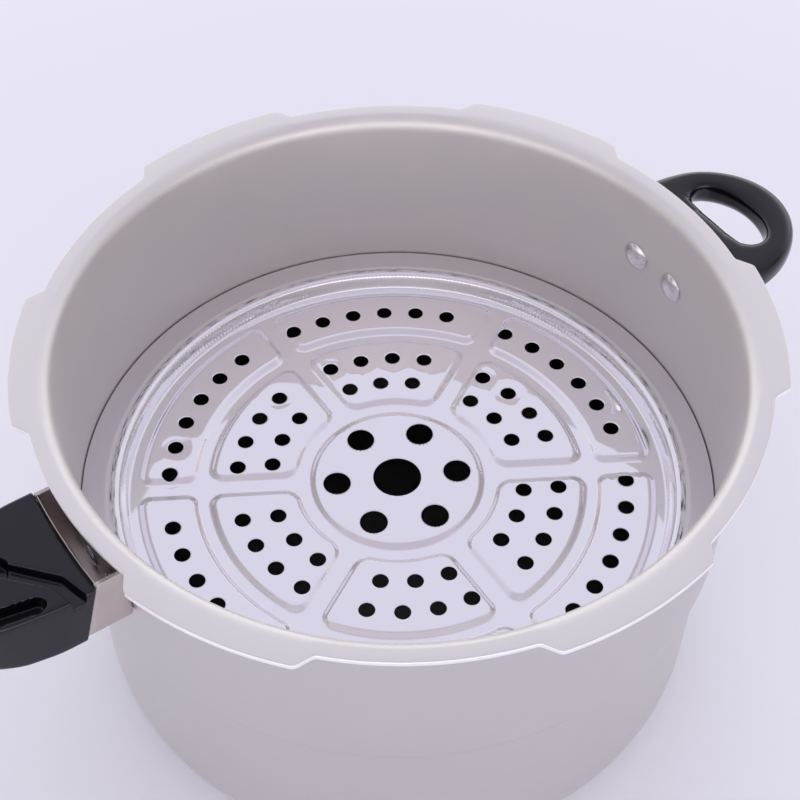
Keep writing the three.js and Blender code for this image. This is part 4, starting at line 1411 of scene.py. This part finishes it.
    def lines(self, x: np.ndarray) -> tuple[np.ndarray, np.ndarray, np.ndarray]:
        """Half width, top and underside at each station, as soft lines from the root to the nose.

        Args:
            x: the stations.

        Returns:
            The half width, the top's height and the underside's height.
        """
        root, end = self.root, self.end
        sides = [(root - 20, self.half), (root + 16, self.half), (root + 42, self.half - self.waist_in)]
        sides += [(root + 66, self.grip_half_width + self.shoulder_out), (root + 90, self.grip_half_width)]
        sides += [(end - 50, self.grip_waist), (end, self.grip_half_width)]
        grip_top = self.top - self.dip
        tops = [(root - 20, self.top), (root + 56, self.top), (root + 84, grip_top), (end, grip_top)]
        grip_low = grip_top - self.grip_depth
        unders = [(root - 20, self.low), (root + 38, self.low + 0.4), (root + 54, self.low + 3)]
        unders += [(root + 78, grip_low), (end, grip_low)]
        low = np.maximum(soft_line(x, unders, 6.0), self.low)
        return soft_line(x, sides, 7.0), soft_line(x, tops, 8.0), low

    def bores(self, x: np.ndarray, y: np.ndarray) -> np.ndarray:
        """Depth of the round screw bores in the underside, by a soft step of the distance to each screw."""
        radius, depth = self.screw_bore
        middles = [node_centre(node)[:2] for node in ("handle_screw_1", "handle_screw_2")]
        off = np.min([np.hypot(x - middle[0], y - middle[1]) for middle in middles], axis=0)
        return depth * soft_step(radius + 0.3 - off, 0.6, 0.2)

    def eye_cutter(self) -> bpy.types.Object:
        """A stadium-shaped plug, flared at both ends, that leaves the hanging eye with eased edges."""
        from_end, reach, radius = self.eye
        turn = even_angles(48) + np.pi / 48
        height = np.concatenate([np.linspace(-16, -8, 9), np.linspace(8, 16, 9)])
        flare = radius + 2.2 * np.clip((np.abs(height) - 8.2) / 3, 0, None) ** 2
        x = self.end - from_end + np.sign(np.cos(turn)) * reach + flare[:, None] * np.cos(turn)
        y = flare[:, None] * np.sin(turn)
        middle = self.top - self.dip - self.grip_depth / 2
        z = np.broadcast_to(middle + height[:, None], x.shape)
        points = closed_ends(np.stack([x, y, z], axis=-1))
        return make_piece("eye_cutter", points, grid_faces(*points.shape[:2]))

    def build(self) -> None:
        """Closes the surface's ends, cuts the hanging eye, and dresses the handle."""
        surface = self.surface()
        middle = surface[:1].mean(axis=1, keepdims=True)
        face = np.concatenate([middle + (surface[:1] - middle) * share for share in (0.3, 0.6, 0.85, 0.97)])
        points = closed_ends(np.concatenate([face, surface]))
        piece = make_piece("moulded_long_handle", points, grid_faces(*points.shape[:2]))
        cut_away(piece, self.eye_cutter())
        self.finishes.dress(piece, Slot.PHENOLIC, Body.CANNER, "long_handle")


def cut_away(piece: bpy.types.Object, cutter: bpy.types.Object) -> None:
    """Takes a cutter's volume out of a piece, then removes the cutter.

    Args:
        piece: the piece to cut.
        cutter: the closed object to take away.
    """
    modifier = piece.modifiers.new("cut", "BOOLEAN")
    modifier.operation, modifier.object, modifier.solver = "DIFFERENCE", cutter, "EXACT"
    depsgraph = bpy.context.evaluated_depsgraph_get()
    result = bpy.data.meshes.new_from_object(piece.evaluated_get(depsgraph))
    piece.modifiers.clear()
    piece.data = result
    bpy.data.objects.remove(cutter)


@dataclass
class HandleChannel:
    """The stainless channel between wall and handle, and the steel tang that runs from it into the handle."""

    finishes: Finishes
    sheet: float = 2.0
    front: float = 1.0
    gap: float = 0.3
    bend: float = 1.6
    skirt: float = 4.0
    edge: float = 0.3
    end_slope: float = 9.6
    handle_depth: float = 33.0
    wall_outer: float = 162.4
    tang_edge: float = 0.8
    top: float = field(init=False)
    low: float = field(init=False)
    half: float = field(init=False)
    root: float = field(init=False)

    def __post_init__(self) -> None:
        """Takes the channel's height, width and reach from the CAD nodes."""
        low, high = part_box("handle_bracket")
        self.low, self.top, self.half = low.z / MM, high.z / MM, high.y / MM
        self.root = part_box("long_handle")[0].x / MM

    def lean(self, height: np.ndarray) -> np.ndarray:
        """How far the handle's end face has leaned away from the pot at a height: in proportion to the drop."""
        return self.end_slope * (self.top - height) / self.handle_depth

    def wrap(self) -> np.ndarray:
        """The sides and the back as one strip: straight, eased round a corner, and along the wall's circle."""
        side = self.half - self.sheet / 2
        radius = self.wall_outer + self.gap + self.sheet / 2
        reach = np.arcsin(side / radius)
        turn = np.linspace(reach, -reach, 13)
        front = self.root - self.gap
        corners = [(front, side), *on_circle(radius, turn).tolist(), (front, -side)]
        path = divided(eased_path(corners, [self.bend, *[0.4] * 11, self.bend], 7), 2.5)
        strip = sheet_along(path, self.sheet, self.low, self.top, self.edge)
        share = np.clip((strip[..., 0] - radius - 2) / (front - radius - 2), 0, 1)
        strip[..., 0] += share * self.lean(strip[..., 2])
        return strip

    def floor(self) -> np.ndarray:
        """The floor: a rounded section across, whose back edge follows the wall's circle."""
        inner = self.half - self.sheet
        section = rounded_section(inner + 0.4, self.sheet / 2, 0.4)
        across = section[:, 0]
        back = np.sqrt((self.wall_outer + self.gap + 0.5) ** 2 - across**2)
        front = self.root - self.gap + self.lean(np.array(self.low + self.skirt))
        share = np.linspace(0, 1, 8)[:, None]
        x = back * (1 - share) + front * share
        y = np.broadcast_to(across, x.shape)
        z = np.broadcast_to(section[:, 1] + self.low + self.skirt + self.sheet / 2, x.shape)
        return closed_ends(np.stack([x, y, z], axis=-1))

    def front_plate(self) -> np.ndarray:
        """The thin plate at the handle's end: a strip across that leans with the end face, open at the tang."""
        tang_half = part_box("handle_tang")[1].y / MM + self.gap
        tang_top = node_heights("handle_tang")[1] + self.gap
        inner = self.half - self.sheet + 0.3
        knots = np.array([-inner, -tang_half - 0.2, -tang_half, tang_half, tang_half + 0.2, inner])
        y = np.concatenate([np.linspace(a, b, 7)[:-1] for a, b in zip(knots[:-1], knots[1:])] + [[inner]])
        floor = self.low + self.skirt + self.sheet - 0.2
        low = np.where(np.abs(y) <= tang_half + 0.01, tang_top, floor)
        section = rounded_section(self.front / 2, 0.5, 0.4)
        z = low[:, None] + (section[None, :, 1] + 0.5) * (self.top - low)[:, None]
        x = self.root - self.gap - self.front / 2 + section[None, :, 0] + self.lean(z)
        bow = 1.2 * (1 - (y / self.half) ** 2)
        return closed_ends(np.stack([x + bow[:, None], np.broadcast_to(y[:, None], x.shape), z], axis=-1))

    def build(self) -> None:
        """Makes the channel as one piece, and the tang as a rounded bar."""
        points, faces = joined([self.wrap(), self.floor(), self.front_plate()])
        piece = make_piece("bent_handle_channel", points, faces)
        self.finishes.dress(piece, Slot.STAINLESS, Body.CANNER, "handle_bracket")
        low, high = (np.array(corner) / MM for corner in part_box("handle_tang"))
        middle, size = (low + high) / 2, (high - low) / 2
        section = rounded_section(size[1], size[2], self.tang_edge)
        x = np.linspace(low[0], high[0], 12)[:, None]
        bar = np.broadcast_arrays(x, middle[1] + section[:, 0], middle[2] + section[:, 1])
        tang = closed_ends(np.stack(bar, axis=-1))
        piece = make_piece("steel_tang", tang, grid_faces(*tang.shape[:2]))
        self.finishes.dress(piece, Slot.STEEL, Body.CANNER, "handle_tang")


# The helper handle


@dataclass
class HelperHandle:
    """The phenolic helper handle: a rounded loop round a finger hole, and a deep root on a steel angle.

    It is worked out pointing along +X, then turned half round to -X.
    """

    finishes: Finishes
    wall_outer: float = 162.4
    gap: float = 0.3
    half_width: float = 43.0
    shoulder: float = 27.6
    taper: float = 3.0
    thickness: float = 17.0
    hole_from_wall: float = 36.6
    hole_depth: float = 22.0
    hole_half_width: float = 24.0
    hole_corner_share: float = 0.4
    root_to_hole: float = 10.0
    loop_power: float = 2.5
    hole_power: float = 3.6
    hole_power_below: float = 1.6
    root_power: float = 4.0
    root_turn: tuple[float, float, float] = (0.2, 0.5, 0.15)
    angle_half_width: float = 24.0
    angle_sheet: float = 2.0
    angle_bend: float = 3.5
    top: float = field(init=False)
    low: float = field(init=False)
    reach: float = field(init=False)

    def __post_init__(self) -> None:
        """Takes the handle's heights and reach from the CAD node."""
        low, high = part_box("ear_handle")
        self.low, self.top, self.reach = low.z / MM, high.z / MM, -low.x / MM

    def outer_outline(self) -> np.ndarray:
        """Half oval beyond the shoulder, nearly straight sides, and the pot's circle between them."""
        shoulder = self.wall_outer + self.shoulder
        turn = np.radians(np.linspace(-90, 90, 61))
        length = self.reach - shoulder
        oval = np.stack([shoulder + length * np.cos(turn), self.half_width * np.sin(turn)], axis=-1)
        radius = self.wall_outer + self.gap
        edge = np.arcsin((self.half_width - self.taper) / radius)
        back = np.linspace(edge, -edge, 41)
        return divided(np.concatenate([oval, on_circle(radius, back), oval[:1]]), 1.5)

    def hole_outline(self) -> np.ndarray:
        """The finger hole: half an oval on the outside, and two round corners on the pot's side."""
        inner = self.wall_outer + self.hole_from_wall
        corner = self.hole_depth * self.hole_corner_share
        middle = inner + corner
        turn = np.radians(np.linspace(-90, 90, 41))
        reach = self.hole_depth - corner
        bow = np.stack([middle + reach * np.cos(turn), self.hole_half_width * np.sin(turn)], axis=-1)
        quarter = np.radians(np.linspace(90, 180, 13))
        upper = np.array([middle, self.hole_half_width - corner]) + on_circle(corner, quarter)
        lower = (upper * np.array([1, -1]))[::-1]
        return divided(np.concatenate([bow, upper, lower, bow[:1]]), 1.0)

    @staticmethod
    def polar(outline: np.ndarray, centre: np.ndarray, angles: np.ndarray) -> np.ndarray:
        """Distance from a centre to an outline in each direction.

        Args:
            outline: points round the outline.
            centre: a point inside it that sees all of it.
            angles: the directions, in radians.

        Returns:
            The distance in each direction.
        """
        off = outline - centre
        direction = np.arctan2(off[:, 1], off[:, 0])
        order = np.argsort(direction)
        return np.interp(angles, direction[order], np.hypot(off[:, 0], off[:, 1])[order], period=2 * np.pi)

    def surface(self) -> np.ndarray:
        """Superellipse sections between the hole and the outline, boxier and deeper towards the pot.

        A point of a section is (cos t ** (2 / p), sin t ** (2 / p)), with the signs kept. The power p goes from
        the loop's to the root's by a soft step of the cosine of the direction to the pot.
        """
        middle = np.array([self.wall_outer + self.hole_from_wall + self.hole_depth / 2 - 1, 0.0])
        angles = even_angles(288)
        inner = self.polar(self.hole_outline(), middle, angles)
        outer = self.polar(self.outer_outline(), middle, angles)
        turn = even_angles(72)
        start, width, soft = self.root_turn
        pot_side = soft_step(-np.cos(angles) - start, width, soft)[:, None]
        power = self.loop_power + (self.root_power - self.loop_power) * pot_side
        by_hole = (np.cos(turn) < 0)[None, :] & (pot_side < 0.5)
        hole_power = np.where(np.sin(turn) > 0, self.hole_power, self.hole_power_below)[None, :]
        power = np.where(by_hole, hole_power, power)
        across = np.sign(np.cos(turn)) * np.abs(np.cos(turn)) ** (2 / power)
        rise = np.sign(np.sin(turn)) * np.abs(np.sin(turn)) ** (2 / power)
        distance = ((outer + inner) / 2)[:, None] + across * ((outer - inner) / 2)[:, None]
        x = middle[0] + distance * np.cos(angles)[:, None]
        y = distance * np.sin(angles)[:, None]
        root = self.wall_outer + self.hole_from_wall - self.root_to_hole
        deeper = soft_step(root + 3 - x, 7, 1.5) * (self.top - self.thickness - self.low)
        bottom = self.top - self.thickness - deeper
        z = (self.top + bottom) / 2 + rise * (self.top - bottom) / 2
        return np.stack([x, y, z], axis=-1)

    def angle(self) -> np.ndarray:
        """The steel angle: a plate that follows the wall's circle, eased into a level leg."""
        low, high = node_heights("ear_bracket")
        radius = self.wall_outer + self.gap + self.angle_sheet / 2
        end = -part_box("ear_bracket")[0].x / MM
        level = low + self.angle_sheet / 2
        corners = [(radius, high), (radius, level), (end, level)]
        path = divided(eased_path(corners, [self.angle_bend], 8), 2.5)
        along = np.gradient(path, axis=0)
        along /= np.linalg.norm(along, axis=1, keepdims=True)
        normal = np.stack([along[:, 1], -along[:, 0]], axis=-1)
        section = rounded_section(self.angle_half_width, self.angle_sheet / 2, 0.7)
        flat = path[:, None, :] + section[None, :, 1:] * normal[:, None, :]
        y = np.broadcast_to(section[:, 0], flat.shape[:2])
        share = 1 - np.clip((flat[..., 0] - radius) / (end - radius), 0, 1)
        x = flat[..., 0] + (np.sqrt(radius**2 - y**2) - radius) * share
        return closed_ends(np.stack([x, y, flat[..., 1]], axis=-1))

    def build(self) -> None:
        """Makes the loop, whose sections close on themselves all round, and the angle."""
        points = about_z(self.surface(), np.pi)
        piece = make_piece("moulded_helper_handle", points, grid_faces(*points.shape[:2], wrap_rows=True))
        self.finishes.dress(piece, Slot.PHENOLIC, Body.CANNER, "ear_handle")
        points = about_z(self.angle(), np.pi)
        piece = make_piece("bent_helper_angle", points, grid_faces(*points.shape[:2]))
        self.finishes.dress(piece, Slot.STAINLESS, Body.CANNER, "ear_bracket")


# The studio


@dataclass
class Studio:
    """Camera, lights and floor for the usual view of the canner."""

    azimuth: float = 57.0
    elevation: float = 49.64
    roll: float = -0.53
    distance: float = 842.8
    target: tuple[float, float, float] = (-11.96, -40.47, 108.3)
    lens: float = 72.0
    shift: tuple[float, float] = (0.0336, 0.0204)
    floor_size: float = 90000.0
    near_sky: str = "#cdc5d3"
    far_sky: str = "#e6e4f4"
    horizon: str = "#f0eef2"
    sky_strength: float = 0.98
    near_glow: float = 2.6
    far_glow: float = 2.2
    side_share: float = 0.15
    near_to_far: tuple[float, float] = (-0.45, 0.35)
    horizon_to_sky: tuple[float, float] = (0.25, 0.55)
    aim: tuple[float, float, float] = (0.0, 0.0, 120.0)
    floor_gap: float = 0.2
    floor_depth: float = 20.0
    floor_points: int = 9

    def camera(self) -> None:
        """A camera that looks at the target from the azimuth and elevation, rolled about its line of sight."""
        turn, rise, roll = np.radians([self.azimuth, self.elevation, self.roll])
        back = np.array([np.cos(rise) * np.cos(turn), np.cos(rise) * np.sin(turn), np.sin(rise)])
        right = np.array([-np.sin(turn), np.cos(turn), 0.0])
        up = np.cross(back, right)
        sideways = np.cos(roll) * right + np.sin(roll) * up
        upright = np.cos(roll) * up - np.sin(roll) * right
        place = (np.array(self.target) + self.distance * back) * MM
        data = bpy.data.cameras.new("camera")
        data.lens, data.sensor_width = self.lens, 36.0
        data.shift_x, data.shift_y = self.shift
        data.clip_start, data.clip_end = 0.01, 100.0
        camera = bpy.data.objects.new("camera", data)
        axes = np.stack([sideways, upright, back, place], axis=-1)
        camera.matrix_world = Matrix([*axes.tolist(), [0, 0, 0, 1]])
        bpy.context.scene.collection.objects.link(camera)
        bpy.context.scene.camera = camera

    def floor(self) -> None:
        """A wide flat sheet of background paper under the base."""
        half = self.floor_size / 2
        count = self.floor_points
        across = np.linspace(-half, half, count)
        x, y = np.meshgrid(across, across)
        points = np.stack([x, y, 0 * x - self.floor_gap], axis=-1)
        low = points - np.array([0, 0, self.floor_depth])
        corners = np.concatenate([points.reshape(-1, 3), low.reshape(-1, 3)])
        face = grid_faces(count, count, wrap_columns=False)
        faces = np.concatenate([face, face[:, ::-1] + count**2])
        piece = make_piece("floor", corners, faces, merge=False)
        piece.data.materials.append(StudioPaper().material())

    def area_light(self, name: str, place: tuple, size: tuple, power: float, colour: str) -> None:
        """A soft box aimed at the canner, flagged so that the metal doesn't mirror it.

        Args:
            name: the light's name.
            place: where it hangs, in millimetres.
            size: its two sides, in millimetres.
            power: its power in watts.
            colour: its colour.
        """
        data = bpy.data.lights.new(name, "AREA")
        data.shape = "RECTANGLE"
        data.size, data.size_y = size[0] * MM, size[1] * MM
        data.energy = power
        data.color = linear(colour)[:3]
        light = bpy.data.objects.new(name, data)
        light.visible_glossy = False
        spot = Vector(place) * MM
        aim = Vector(self.aim) * MM - spot
        light.matrix_world = Matrix.Translation(spot) @ aim.to_track_quat("-Z", "Y").to_matrix().to_4x4()
        bpy.context.scene.collection.objects.link(light)

    def world(self) -> None:
        """A surround that is lighter beyond the canner than behind the camera, and glows at the horizon.

        Directions are unit vectors. Their part along the line of sight in plan says how far beyond the canner
        they point, and their height says how far above the horizon.
        """
        world = bpy.data.worlds.new("surround")
        world.use_nodes = True
        tree = world.node_tree
        tree.nodes.clear()
        place = add_node(tree, "ShaderNodeTexCoord", {}).outputs["Generated"]
        turn = np.radians(self.azimuth)
        beyond = (-float(np.cos(turn)), -float(np.sin(turn)), 0.0)
        along = vector_maths(tree, "DOT_PRODUCT", place, beyond)
        share = remap(tree, along, *self.near_to_far, easing="SMOOTHSTEP")
        height = add_node(tree, "ShaderNodeSeparateXYZ", {0: place}).outputs[2]
        rise = remap(tree, height, *self.horizon_to_sky, easing="SMOOTHSTEP")
        colour = blend(tree, rise, self.horizon, blend(tree, share, self.near_sky, self.far_sky))
        glow = remap(tree, share, 0.0, 1.0, (self.near_glow, self.far_glow))
        dimmed = remap(tree, calculate(tree, "ABSOLUTE", along), 0.0, 1.0, (self.side_share, 1.0))
        low = calculate(tree, "MULTIPLY", glow, dimmed)
        strength = remap(tree, rise, 0.0, 1.0, (low, self.sky_strength))
        surround = add_node(tree, "ShaderNodeBackground", {"Color": colour, "Strength": strength})
        add_node(tree, "ShaderNodeOutputWorld", {"Surface": surround.outputs[0]})
        bpy.context.scene.world = world

    def build(self) -> None:
        """Sets up the camera, the floor, the lights and the surround."""
        self.camera()
        self.floor()
        self.world()
        self.area_light("front_softbox", (700, 1000, 1900), (2200, 2200), 4.0, "#fffdfd")
        self.area_light("far_softbox", (-1500, -2600, 700), (2600, 900), 32.0, "#fbfaff")
        self.area_light("near_softbox", (1500, 2600, 900), (2600, 900), 7.0, "#fbfaff")
        bpy.context.scene.view_settings.view_transform = "Standard"


def main() -> None:
    """Builds every sub-assembly around the frame."""
    logging.basicConfig(level=logging.INFO, format="%(message)s")
    finishes = Finishes()
    Studio().build()
    prefixes = ("ear_rivet", "handle_rivet")
    wall_rivets = tuple(sorted(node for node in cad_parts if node.startswith(prefixes)))
    parts = [Pot(finishes), SteamerRack(finishes), LongHandle(finishes), HandleChannel(finishes)]
    parts += [HelperHandle(finishes), WallRivets(finishes, wall_rivets)]
    parts += [UprightFasteners(finishes, prefix) for prefix in ("handle_", "tang_", "ear_")]
    for part in parts:
        part.build()


if __name__ == "__main__":
    main()
